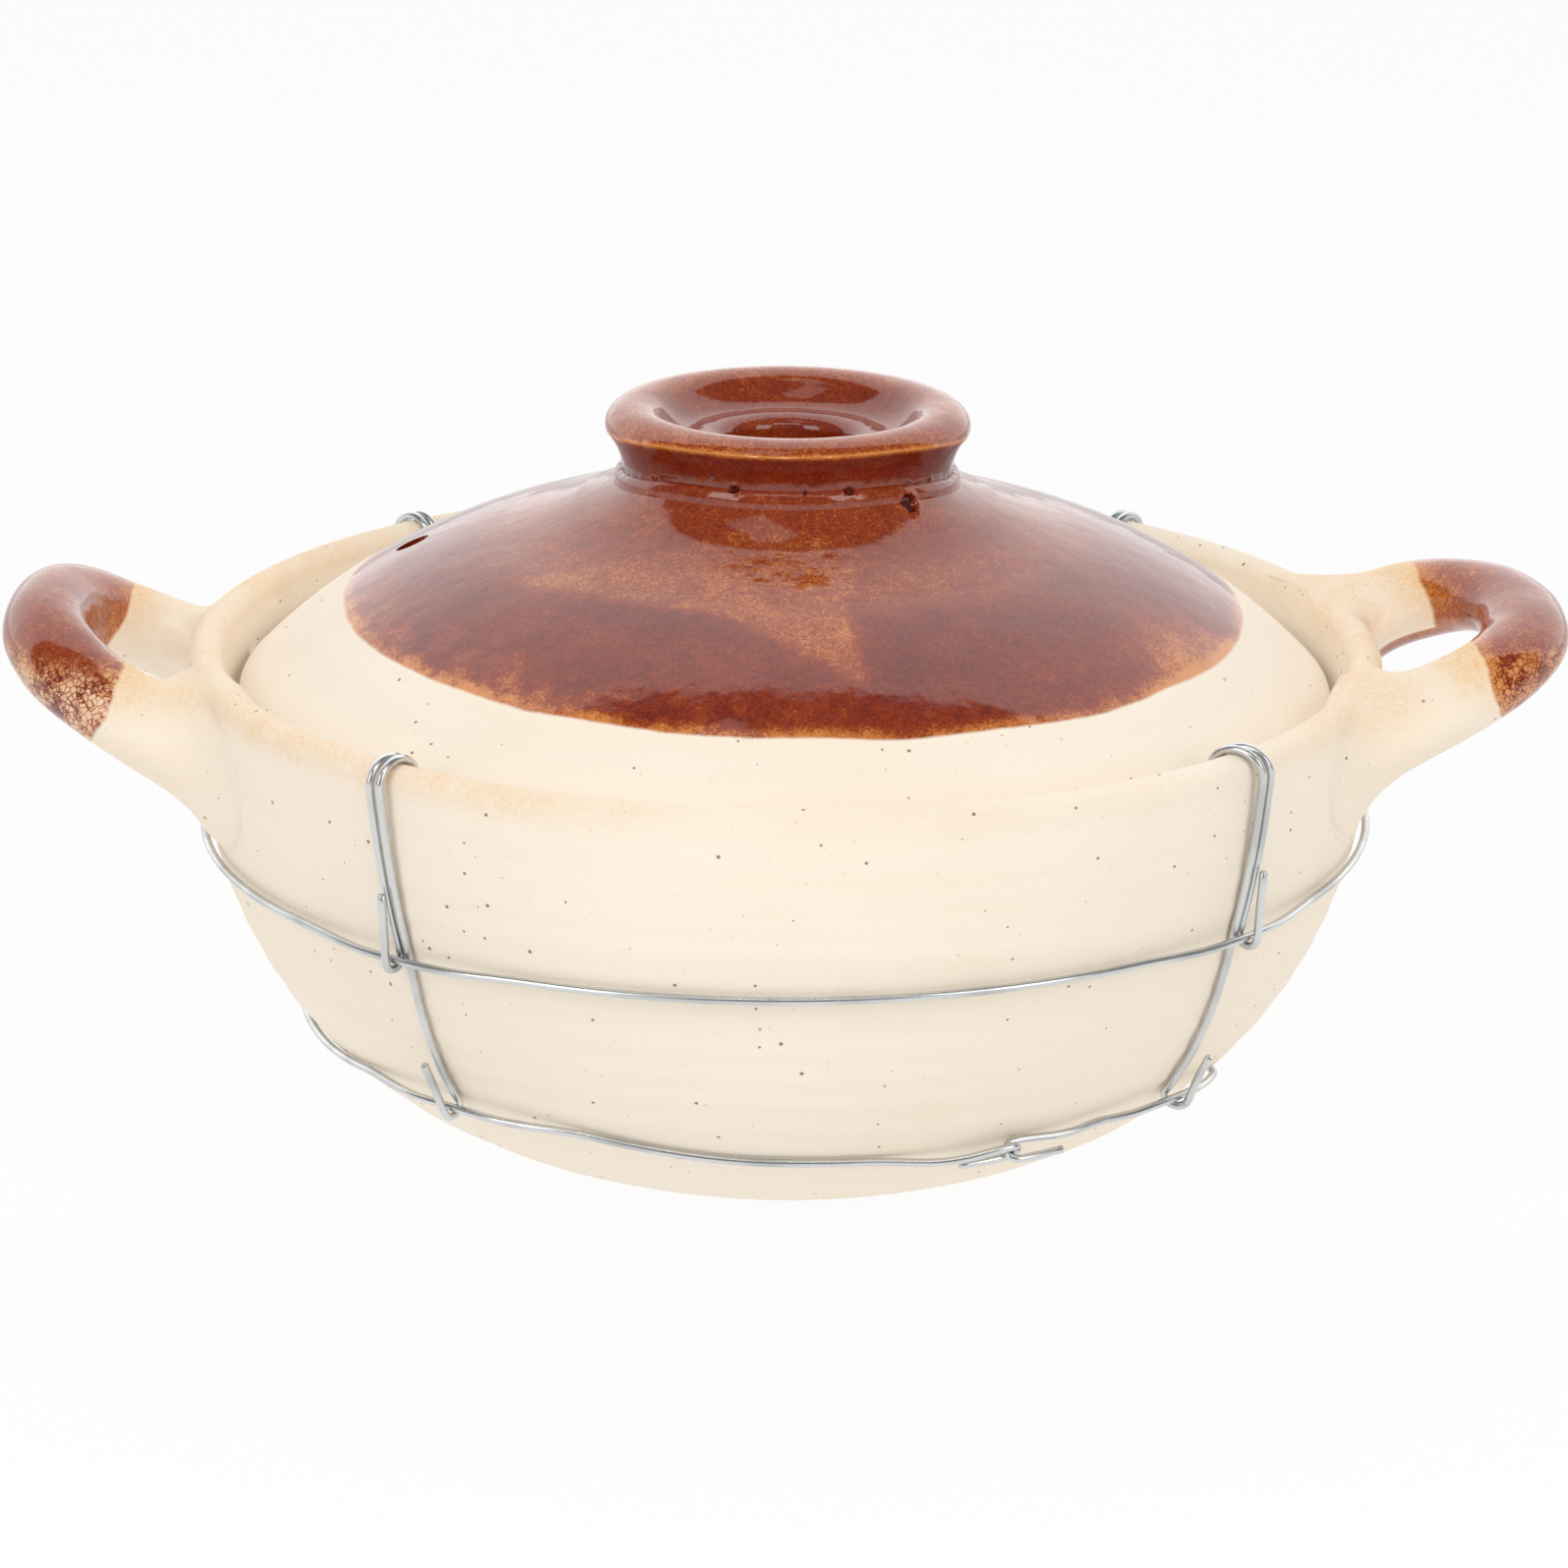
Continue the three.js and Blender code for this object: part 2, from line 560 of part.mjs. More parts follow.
// Hook of a hanger under a hoop, from the strand behind the hoop to the cut end pressed back in front.
function hangerHook(spec, azimuth, sideways, spread, tail) {
  const height = hoopHeight(spec, azimuth);
  const radius = sideRadius(height) + swollen;
  const place = (across, out, up) => spot(azimuth + sideways * across / radius, height, swollen + out, up);
  return [
    ...halfTurn.map((a) => (
      place(spread * a / Math.PI, -hookRadius * Math.cos(a), -hookRadius * Math.sin(a))
    )),
    place(spread / 2, hookRadius / 2, tail / 2),
    place(spread / 4, 0, tail),
  ];
}

// Way of one strand over the rim, from outside to inside, as radius and height.
function rimCrossing() {
  const across = RIM_ROUND + wireRest;
  const slack = RIM_SLACK / 2;
  const middle = rimCentre.clone().add(flat(slack, 0));
  const gallerySlope = (rimCentre.x - RIM_ROUND - galleryRadius) / (rimCentre.y - seatHeight - SEAT_FILLET);
  const end = RIM_HEIGHT - HAIRPIN_DROP + (WIRE + STRAND_GAP) / 2;
  const inner = rimCentre.x - across - (rimCentre.y - end) * gallerySlope;
  return [...arc(middle, across + slack, across, 0, Math.PI), flat(inner, end)];
}

// One hanger: up from its hook under the lower hoop, behind both hoops, over the rim to a hairpin
// inside it, and back over the rim to a second hook under the upper hoop.
function hanger(spec) {
  const rim = THREE.MathUtils.degToRad(spec.rim);
  const within = THREE.MathUtils.degToRad(spec.inside);
  const waist = THREE.MathUtils.degToRad(spec.waist);
  const foot = THREE.MathUtils.degToRad(spec.foot);
  const pitch = WIRE + STRAND_GAP;
  const shift = spec.side * pitch / 2 / BOWL_RADIUS;
  const part = spec.side * STRAND_PART / 2 / sideRadius(upperHoop.height);
  const crossing = rimCrossing();
  const over = (aside) => crossing.map((p, i) => (
    polar(THREE.MathUtils.lerp(rim, within, i / (crossing.length - 1)) + aside, p.x, p.y)
  ));
  const inside = crossing.at(-1);
  const hairpin = halfTurn.slice(1, -1).map((angle) => (
    polar(within - shift * Math.cos(angle), inside.x, inside.y - pitch / 2 * Math.sin(angle))
  ));
  const atRim = (azimuth) => ({ azimuth, height: rimCentre.y, rest: wireRest + RIM_SLACK });
  const behind = (ring, azimuth) => ({ azimuth, height: hoopHeight(ring, azimuth), rest: wireRest });
  const run = (from, to, shares) => shares.map((share) => spot(
    THREE.MathUtils.lerp(from.azimuth, to.azimuth, share),
    THREE.MathUtils.lerp(from.height, to.height, share),
    THREE.MathUtils.lerp(from.rest, to.rest, share),
  ));
  const longWaist = behind(upperHoop, waist - part);
  const shortWaist = behind(upperHoop, waist + part);
  return wire([
    ...hangerHook(lowerHoop, foot, spec.side, spec.spread, LOWER_TAIL).reverse(),
    ...run(behind(lowerHoop, foot), longWaist, LONG_RINGS),
    ...run(longWaist, atRim(rim - shift), RIM_RINGS),
    ...over(-shift),
    ...hairpin,
    ...over(shift).reverse(),
    ...run(atRim(rim + shift), shortWaist, SHORT_RINGS),
    ...hangerHook(upperHoop, waist + part, spec.side, UPPER_HOOK_SPREAD, UPPER_TAIL),
  ]);
}

const pot = new THREE.Group();
pot.add(sub('pot_bowl', revolve(bowlProfile(), AROUND), clay));
for (const spec of HANDLES) {
  const loop = sub(spec.name, handle(spec), dippedClay);
  loop.rotation.z = THREE.MathUtils.degToRad(spec.azimuth);
  pot.add(loop);
}

const cage = new THREE.Group();
for (const spec of [upperHoop, lowerHoop]) {
  cage.add(sub(spec.name, hoop(spec), galvanised));
}
for (const spec of HANGERS) {
  cage.add(sub(spec.name, hanger(spec), galvanised));
}
pot.add(cage);

const cover = new THREE.Group();
cover.add(sub('lid_dome', lid(), brownGlaze));
cover.add(sub('lid_knob_ring', knob(), brownGlaze));

const casserole = new THREE.Group();
casserole.add(pot, cover);

export default casserole;
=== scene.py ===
"""A hand-thrown clay casserole in a cage of galvanised wire, dressed over its packed solids.

Lengths are in metres, +Z is up, the origin is in the middle of the flat base and the handles lie along X.
"""

import math

import bpy
import numpy as np
from bpy.props import FloatProperty, FloatVectorProperty, PointerProperty
from mathutils import Matrix, Vector


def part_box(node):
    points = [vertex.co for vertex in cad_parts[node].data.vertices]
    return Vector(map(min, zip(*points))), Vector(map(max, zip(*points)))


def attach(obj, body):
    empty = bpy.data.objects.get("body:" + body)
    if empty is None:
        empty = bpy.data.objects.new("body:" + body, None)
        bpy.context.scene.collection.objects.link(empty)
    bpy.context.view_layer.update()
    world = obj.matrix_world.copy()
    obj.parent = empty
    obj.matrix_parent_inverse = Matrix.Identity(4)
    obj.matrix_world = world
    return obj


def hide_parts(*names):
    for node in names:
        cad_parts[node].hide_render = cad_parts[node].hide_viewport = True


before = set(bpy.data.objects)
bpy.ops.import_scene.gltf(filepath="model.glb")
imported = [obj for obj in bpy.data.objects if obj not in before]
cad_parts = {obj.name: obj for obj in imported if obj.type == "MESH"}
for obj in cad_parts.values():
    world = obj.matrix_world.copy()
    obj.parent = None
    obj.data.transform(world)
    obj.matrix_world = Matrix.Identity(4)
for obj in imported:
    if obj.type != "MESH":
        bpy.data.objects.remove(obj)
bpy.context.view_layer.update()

bl_info = {
    "name": "Clay casserole",
    "version": (1, 0, 0),
    "blender": (4, 5, 0),
    "location": "View3D > Sidebar > Casserole",
    "description": "Makes a hand-thrown clay casserole in a wire cage, and a studio around it",
    "category": "Object",
}

MM = 0.001
BOWL_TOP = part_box("pot_bowl")[1]
LID_LOW, LID_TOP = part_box("lid_dome")
KNOB_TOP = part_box("lid_knob_ring")[1]

# Scars of the seam under the knob: azimuth in degrees, then millimetres above the seam, radius and depth.
SEAM_SCARS = (
    (313, -4.4, 2.2, 1.3),
    (291, -0.6, 1.2, 0.6),
    (252, -0.4, 1.1, 0.6),
    (244, 2.5, 0.6, 0.3),
    (276, -0.5, 0.7, 0.3),
)


def size(millimetres, name, description):
    """A length that a user may change."""
    return FloatProperty(
        name=name, description=description, default=millimetres * MM, subtype="DISTANCE", unit="LENGTH")


def angle(degrees, name, description):
    """An angle that a user may change."""
    return FloatProperty(
        name=name, description=description, default=math.radians(degrees), subtype="ANGLE", unit="ROTATION")


def share(default, name, description):
    """A share of something that a user may change."""
    return FloatProperty(name=name, description=description, default=default, subtype="FACTOR", min=0, max=1)


def amount(default, name, description):
    """A plain number that a user may change."""
    return FloatProperty(name=name, description=description, default=default)


def colour(red, green, blue, name, description):
    """A colour that a user may change, given as it looks on a screen."""
    linear = [((c / 255 + 0.055) / 1.055) ** 2.4 for c in (red, green, blue)]
    return FloatVectorProperty(
        name=name, description=description, default=linear, subtype="COLOR", size=3, min=0, max=1)


class BowlSizes(bpy.types.PropertyGroup):
    """Sizes of the thrown bowl"""

    radius: size(BOWL_TOP[0] / MM, "Radius", "Outside of the rim")
    height: size(BOWL_TOP[2] / MM, "Height", "Crest of the rim above the table")
    foot_radius: size(46.5, "Foot radius", "Flat base")
    foot_edge: size(2.2, "Foot edge", "Worn rounding where the side leaves the table")
    foot_slope: angle(20.6, "Foot slope", "Slope at which the side leaves the table")
    foot_pull: size(25.6, "Foot pull", "How far the side holds that slope")
    belly_share: share(0.8, "Belly", "Share of the height over which the side swings upright")
    belly_lean: size(2, "Lean", "How far the side leans out under the rim")
    rim_round: size(3.4, "Rim", "Radius of the rounded rim")
    wall: size(8, "Wall", "Thickness of the side")
    floor: size(9, "Floor", "Thickness of the base")
    gallery_wall: size(8.4, "Gallery wall", "Clay left outside the gallery")
    seat_depth: size(14.4, "Seat depth", "Crest of the rim down to the lid's seat")
    seat_width: size(11.4, "Seat width", "Width of the lid's seat")
    ledge: size(5, "Ledge", "Thickness of the seat's inner edge")
    rings: size(0.11, "Throwing rings", "Height of the ridges left by the potter's fingers")


class HandleSizes(bpy.types.PropertyGroup):
    """Sizes of the two loop handles"""

    width: size(17.5, "Width", "Width of the flattened coil")
    depth: size(15.5, "Depth", "Depth of the flattened coil")
    reach: size(37.4, "Reach", "Rim to the outside of the loop")
    spread: size(75, "Spread", "Between the middles of a loop's two roots")
    squareness: amount(2.5, "Squareness", "2 is an ellipse seen from above, more is squarer")
    root_spread: size(3.4, "Root spread", "How far the coil widens at a root, each way")
    root_smear: size(2.6, "Root smear", "How far it deepens there, each way")
    fillet: size(11, "Fillet", "How far a root's clay is smoothed out over the wall")
    unevenness: size(0.35, "Unevenness", "Dents and swellings of the pulled coil")
    right_tip_rise: size(4, "Right tip", "Middle of the right coil above the rim, at the tip")
    right_tip_swell: size(-1, "Right tip swell", "How much deeper the right coil is at the tip, each way")
    right_front_drop: size(13, "Right front root", "Middle of the coil below the rim, at the root")
    right_back_drop: size(18.5, "Right back root", "Middle of the coil below the rim, at the root")
    right_back_bulge: amount(0.95, "Right back bulge", "How much sooner than its reach the arm climbs")
    right_back_squareness: amount(2.05, "Right back squareness", "Rounder than the other arms")
    left_tip_rise: size(1, "Left tip", "Middle of the left coil above the rim, at the tip")
    left_tip_swell: size(1.1, "Left tip swell", "How much deeper the left coil is at the tip, each way")
    left_front_drop: size(20, "Left front root", "Middle of the coil below the rim, at the root")
    left_back_drop: size(23.6, "Left back root", "Middle of the coil below the rim, at the root")
    left_back_bulge: amount(-0.35, "Left back bulge", "The arm climbs later than its reach")


class LidSizes(bpy.types.PropertyGroup):
    """Sizes of the lid and its ring knob"""

    radius: size(LID_TOP[0] / MM, "Radius", "Outside of the lid's edge")
    bottom: size(LID_LOW[2] / MM, "Underside", "Height of the lid's underside above the table")
    edge: size(3.5, "Edge", "Radius of the rounded edge")
    rise: size(38, "Rise", "Height of the dome above its edge")
    wall: size(7, "Wall", "Thickness of the dome")
    flat: size(9, "Flat", "Width of the edge's underside")
    vent_diameter: size(6.6, "Vent", "Steam vent")
    vent_inset: size(33.5, "Vent inset", "The vent's distance in from the edge")
    vent_azimuth: angle(172, "Vent azimuth", "Where the vent lies round the lid, from +X")
    knob_radius: size(36.6, "Knob radius", "Outside of the rolled lip")
    knob_top: size(KNOB_TOP[2] / MM, "Knob top", "Height of the lip's crest above the table")
    lip_width: size(11.8, "Lip width", "Width of the rolled lip")
    lip_round: size(4.2, "Lip round", "Height of the lip's rounded upper half")
    lip_turn: angle(14, "Lip turn", "How far the lip's round goes on below its middle, to a sharp edge")
    lip_front_turn: angle(-24, "Lip turn in front", "The same in front, where the edge was trimmed higher")
    neck_inset: size(3.4, "Neck inset", "The neck's distance in from the lip")
    neck_share: share(0.3, "Neck height", "Height of the narrowest neck as a share of the knob's")
    neck_front_share: share(0.48, "Neck height in front", "The same in front")
    bead_height: size(2.6, "Bead height", "Bead of clay round the foot of the neck")
    bead_front_height: size(3.3, "Bead height in front", "The same in front")
    bead_swell: size(1.6, "Bead swell", "How far the bead stands out from the neck")
    knob_foot: size(5.6, "Knob foot", "How far the steep foot reaches out past the lip")
    foot_fill: size(2.6, "Foot fill", "Height of the foot's outer edge above the dome")
    skirt: size(16, "Skirt", "How far the clay smoothed out below the foot runs on")
    skirt_slope: angle(27.5, "Skirt slope", "Slope at which the skirt leaves the foot")
    skirt_end_slope: angle(18.5, "Skirt end slope", "Slope at which the skirt meets the dome")
    dish_turn: angle(150, "Dish turn", "Where the lip's round runs into the dish, from the outside")
    dish_depth: size(6.2, "Dish depth", "Crest of the lip down to the floor of the dish")
    dish_inset: size(5.8, "Dish inset", "From the lip's inner side to where the dish is flat")
    hole_inset: size(11, "Hole inset", "From the lip's inner side to the hole in the dish")
    hole_round: size(3.4, "Hole round", "Rounding of the hole's upper edge")
    hole_taper: size(1.5, "Hole taper", "How far the hole narrows down to the dome")
    glaze_line: size(111.9, "Glaze line", "Height of the glaze's lower edge above the table")


class WireSizes(bpy.types.PropertyGroup):
    """Sizes of the wire cage"""

    diameter: size(1.6, "Diameter", "Thickness of the wire")
    gap: size(0.35, "Gap", "Room between wires, and between wire and clay")
    hoop_below_roots: size(2.6, "Upper hoop", "Lowest handle root down to the upper hoop")
    upper_drop: size(-1.1, "Upper tilt", "How much lower the upper hoop lies at +X")
    upper_slack: size(0.6, "Upper slack", "Extra room between upper hoop and clay")
    upper_joint: angle(100, "Upper joint", "Where the upper hoop is closed")
    lower_height: size(28, "Lower hoop", "Height of the lower hoop between its hangers")
    lower_drop: size(1.5, "Lower tilt", "How much lower the lower hoop lies at +X")
    lower_lift: size(5.2, "Lower lift", "How far the hangers pull the lower hoop up")
    lower_sag: size(7, "Lower sag", "How far the lower hoop hangs down between the right hangers")
    sag_azimuth: angle(4, "Sag azimuth", "Lowest point of the sag")
    sag_span: angle(40, "Sag span", "How far the sag reaches to each side")
    lower_joint: angle(296.5, "Lower joint", "Where the lower hoop is closed")
    lift_span: size(60, "Lift span", "How far from a hanger the pull fades out")
    hold: size(7, "Hold", "How far each side of a strand a hoop stands clear of it")
    swell: size(28, "Swell", "How far from a strand a hoop lies on the clay again")
    hoop_tail: size(9, "Hoop tail", "Wire left past a hoop's end hook")
    tail_fall: size(1, "Tail fall", "How far the hoop end that lies in front droops")
    hoop_ease: size(16, "Hoop ease", "Length over which a hoop runs into its hook")
    strand_gap: size(0.7, "Strand gap", "Between the two strands of a hanger at the rim")
    rim_slack: size(1.2, "Rim slack", "Air outside the rim where a hanger crosses it")
    hairpin_drop: size(7, "Hairpin", "Rim crest down to a hanger's hairpin inside")
    strand_part: size(2.1, "Strand parting", "Between a hanger's two strands at the upper hoop")
    upper_tail: size(14, "Upper tail", "Wire left past a hanger's upper hook")
    lower_tail: size(13.5, "Lower tail", "Wire left past a hanger's lower hook")
    upper_spread: size(0.4, "Upper hook", "How far an upper hook opens sideways")


class Finishes(bpy.types.PropertyGroup):
    """Colours of the clay, the glaze and the wire"""

    clay: colour(249, 238, 222, "Clay", "Unglazed cream stoneware")
    clay_shade: colour(243, 226, 202, "Clay clouds", "Darker clouds in the clay")
    # The blush colour also tints the painted warm shade on the bowl's flanks.
    blush_and_shade: colour(238, 188, 116, "Blush", "Toasted orange bloom of the fire")
    iron: colour(118, 74, 46, "Iron specks", "Specks of iron in the clay")
    glaze_deep: colour(84, 17, 8, "Deep glaze", "Where the glaze lies thickest")
    glaze: colour(124, 38, 18, "Glaze", "Most of the glaze")
    glaze_warm: colour(150, 60, 14, "Warm glaze", "Where the glaze thins")
    glaze_thin: colour(212, 134, 66, "Thin glaze", "At edges and in the specks")
    zinc: colour(215, 217, 217, "Zinc", "Galvanised wire")
    zinc_dull: colour(170, 172, 173, "Dull zinc", "Weathered patches of the wire")


class StudioSettings(bpy.types.PropertyGroup):
    """Camera, table, lights and room"""

    target: size(72.2, "Target", "Height that the camera looks at")
    distance: size(1146, "Distance", "Camera to target")
    elevation: angle(17.52, "Elevation", "Camera above the horizontal")
    roll: angle(0.6, "Roll", "How far the camera is turned about its view")
    lens: FloatProperty(name="Lens", description="Focal length", default=128.9, subtype="DISTANCE_CAMERA")
    floor: colour(240, 240, 240, "Floor", "Pale table")
    horizon: amount(1.5, "Horizon", "Brightness of the white room behind the pot")
    zenith: amount(1.35, "Zenith", "Brightness of the white room overhead")
    side_boxes: amount(2.8, "Side boxes", "Brightness of the two soft boxes in front")
    overhead: amount(0.8, "Overhead", "Brightness of the soft box right above")
    front_strip: amount(3.5, "Front strip", "Brightness of the strip above the front")
    fill: amount(0.98, "Fill", "Brightness of the wide light above the front, not seen in the gloss")
    glow: share(0.76, "Table glow", "How much of the table's light comes from below it")
    seen_glow: share(0.92, "Seen glow", "The same as the camera sees it, which leaves a faint shadow")
    room: amount(0.2, "Room", "Brightness of the room in front of the pot")


def smoothstep(values, low, high):
    """0 below low, 1 above high, eased between them."""
    x = np.clip((np.asarray(values, float) - low) / (high - low), 0, 1)
    return x * x * (3 - 2 * x)


def band(values, rise, fall):
    """0, then 1 after a rise, then 0 again after a fall, each given by where it starts and ends."""
    return smoothstep(values, *rise) * (1 - smoothstep(values, *fall))


def bell(distances, width):
    """1 at 0, fading out to both sides over about a width."""
    return np.exp(-(distances / width) ** 2)


def bezier(corners, shares):
    """Points of the Bezier curve over some corners."""
    shares = np.reshape(shares, (-1, 1))
    layer = [np.asarray(corner, float) for corner in corners]
    while len(layer) > 1:
        layer = [a + (b - a) * shares for a, b in zip(layer, layer[1:])]
    return np.broadcast_to(layer[0], (len(shares), np.shape(corners)[1]))


def curve(corners, count):
    """A number of points from end to end of the Bezier curve over some corners."""
    return bezier(corners, np.linspace(0, 1, count))


def arc(centre, across, up, start, end, steps):
    """Points of a part of an ellipse."""
    turns = np.linspace(start, end, steps + 1)
    return np.column_stack([centre[0] + across * np.cos(turns), centre[1] + up * np.sin(turns)])


def straight(start, end, step):
    """Points along a line, about a step apart."""
    start, end = np.asarray(start, float), np.asarray(end, float)
    count = max(1, round(np.linalg.norm(end - start) / step))
    return start + (end - start) * np.linspace(0, 1, count + 1)[:, None]


def joined(*runs):
    """One run of points from several that follow each other, without doubled points."""
    doubled = 1e-7
    points = np.vstack(runs)
    moved = np.linalg.norm(np.diff(points, axis=0), axis=1) > doubled
    return points[np.concatenate([[True], moved])]


def full_turn(count):
    """Angles all the way round."""
    return np.linspace(0, 2 * math.pi, count, endpoint=False)


def polar(azimuths, radii, heights):
    """Points in space, from their azimuths round the axis, radii and heights."""
    azimuths, radii, heights = np.broadcast_arrays(azimuths, radii, heights)
    return np.stack([radii * np.cos(azimuths), radii * np.sin(azimuths), heights], axis=-1)


def normalised(vectors):
    """Vectors of the same directions that are 1 long."""
    return vectors / np.linalg.norm(vectors, axis=-1, keepdims=True)


def waves(along, around, seed):
    """Gentle waves of a hand-made surface, about -1 to 1. They close on themselves in the second angle."""
    total = np.zeros(np.broadcast(along, around).shape)
    for k in range(1, 6):
        phase = seed * (1.7 + 0.61 * k) + k * k
        total = total + np.sin(along * (0.7 + 0.45 * k) + phase) * np.cos(around * k + 2.3 * phase) / k
    return total / 1.6


def new_object(name, points, faces):
    """A mesh in the scene."""
    mesh = bpy.data.meshes.new(name)
    mesh.from_pydata(np.reshape(points, (-1, 3)).tolist(), [], faces)
    made = bpy.data.objects.new(name, mesh)
    bpy.context.scene.collection.objects.link(made)
    return made


def new_piece(name, points, faces, body, slot, *nodes):
    """A smooth mesh that rides on a body and stands for some of its solids."""
    piece = new_object(name, points, faces)
    piece.data.shade_smooth()
    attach(piece, body)
    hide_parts(*nodes)
    return piece


def skin_faces(rows, around):
    """Faces between rows of points that close on themselves."""
    faces = []
    for i in range(rows - 1):
        for j in range(around):
            k = (j + 1) % around
            faces.append((i * around + j, i * around + k, (i + 1) * around + k, (i + 1) * around + j))
    return faces


def capped_faces(rows, around):
    """Faces between rows of points that close on themselves, with one more over each end."""
    last = (rows - 1) * around
    caps = [tuple(range(around - 1, -1, -1)), tuple(range(last, last + around))]
    return skin_faces(rows, around) + caps


def square_to(along):
    """Directions square to those along a section that runs up its outside, out of the clay."""
    return np.column_stack([along[:, 1], -along[:, 0]])


def turned(section, around, push):
    """Points and faces of a shape turned from a section that starts and ends on the axis.

    push is how far each point of each row is moved square to the surface.
    """
    rows = section[1:-1]
    outwards = square_to(normalised(np.gradient(section, axis=0)))[1:-1]
    moved = rows[:, None] + outwards[:, None] * push[1:-1, :, None]
    points = polar(full_turn(around), moved[..., 0], moved[..., 1]).reshape(-1, 3)
    first, last = len(points), len(points) + 1
    points = np.vstack([points, (0, 0, section[0][1]), (0, 0, section[-1][1])])
    faces = skin_faces(len(rows), around)
    top = (len(rows) - 1) * around
    for j in range(around):
        k = (j + 1) % around
        faces.append((first, k, j))
        faces.append((top + j, top + k, last))
    return points, faces


class BowlSide:
    """Outside of the bowl, as a curve of radius and height from the foot to the rim."""

    def __init__(self, bowl):
        rim = bowl.height - bowl.rim_round
        pull = bowl.foot_pull
        self.corners = np.array([
            (bowl.foot_radius, 0),
            (bowl.foot_radius + pull * math.cos(bowl.foot_slope), pull * math.sin(bowl.foot_slope)),
            (bowl.radius - bowl.belly_lean, rim * (1 - bowl.belly_share)),
            (bowl.radius, rim),
        ])
        self.rim_centre = np.array([bowl.radius - bowl.rim_round, rim])
        self.shares = np.linspace(0, 1, 600)
        self.heights = bezier(self.corners, self.shares)[:, 1]

    def share(self, heights):
        """How far along the curve some heights lie."""
        return np.interp(heights, self.heights, self.shares)

    def section(self, shares, out=0.0, up=0.0):
        """Points a share of the way up, moved out of the clay and up along it."""
        along = normalised(bezier(np.diff(self.corners, axis=0), shares))
        moves = square_to(along) * np.reshape(out, (-1, 1)) + along * np.reshape(up, (-1, 1))
        return bezier(self.corners, shares) + moves

    def radius(self, height):
        return bezier(self.corners, [self.share(height)])[0, 0]

    def spot(self, azimuths, heights, out, up=0.0):
        """Points in space at some heights of the side, moved out of the clay and up along it."""
        azimuths, heights, out, up = np.broadcast_arrays(np.atleast_1d(azimuths), heights, out, up)
        flat = self.section(self.share(heights), out, up)
        return polar(azimuths, flat[:, 0], flat[:, 1])

    def distance(self, points, rim_round):
        """How far points in space lie out of the bowl, negative in its clay, and the way out there."""
        below_handles = 0.3
        rim = arc(self.rim_centre, rim_round, rim_round, 0, math.pi, 40)
        line = joined(self.section(np.linspace(below_handles, 1, 120)), rim)
        start, step = line[:-1], np.diff(line, axis=0)
        flat = np.column_stack([np.hypot(points[:, 0], points[:, 1]), points[:, 2]])
        along = np.einsum("nmk,mk->nm", flat[:, None] - start, step) / np.sum(step * step, axis=1)
        nearest = start + step * np.clip(along, 0, 1)[..., None]
        apart = np.linalg.norm(flat[:, None] - nearest, axis=2)
        best = np.argmin(apart, axis=1)
        square = normalised(square_to(step[best]))
        rows = np.arange(len(points))
        sign = np.sign(np.sum((flat - nearest[rows, best]) * square, axis=1))
        azimuths = np.arctan2(points[:, 1], points[:, 0])
        return apart[rows, best] * sign, polar(azimuths, square[:, 0], square[:, 1])


def bowl_section(bowl, side):
    """The bowl's section from the middle of its base round to the middle of its floor.

    Also gives the rows on the outside, and the first row of the glazed inside.
    """
    gallery = bowl.radius - bowl.gallery_wall
    seat = bowl.height - bowl.seat_depth
    seat_inner = gallery - bowl.seat_width
    ledge_foot = seat - bowl.ledge
    edge = bowl.foot_edge
    coarse, fine = 4 * MM, MM
    low = side.share(edge * math.sin(bowl.foot_slope))
    base = straight((0, 0), (bowl.foot_radius - edge, 0), coarse)
    corner = curve([base[-1], (bowl.foot_radius, 0), side.section([low])[0]], 8)
    wall = side.section(np.linspace(low, 1, 118))
    rim = arc(side.rim_centre, bowl.rim_round, bowl.rim_round, 0, math.pi, 26)
    hollow, worn = 3 * MM, 1.4 * MM
    gallery_wall = straight(rim[-1], (gallery, seat + hollow), fine)
    seat_rows = joined(
        curve([gallery_wall[-1], (gallery, seat), (gallery - hollow, seat)], 9),
        straight((gallery - hollow, seat), (seat_inner + worn, seat), fine),
        curve([(seat_inner + worn, seat), (seat_inner, seat), (seat_inner, seat - worn)], 7),
    )
    even_top, even_foot = 72 * MM, 17 * MM
    within = side.section(np.linspace(side.share(even_top), side.share(even_foot), 70), -bowl.wall)
    ledge_pull, floor_round = 7 * MM, 12 * MM
    inner_foot = (within[-1, 0] - floor_round, bowl.floor)
    outside = joined(base, corner, wall, rim, gallery_wall, seat_rows)
    inside = joined(
        straight(seat_rows[-1], (seat_inner, ledge_foot), fine)[1:],
        curve([(seat_inner, ledge_foot), (seat_inner, ledge_foot - ledge_pull), within[0]], 16),
        within,
        curve([within[-1], (within[-1, 0] - floor_round / 2, bowl.floor), inner_foot], 14),
        straight(inner_foot, (0, bowl.floor), coarse),
    )
    first_wall = len(joined(base, corner))
    return joined(outside, inside), range(first_wall, first_wall + len(wall)), len(outside)


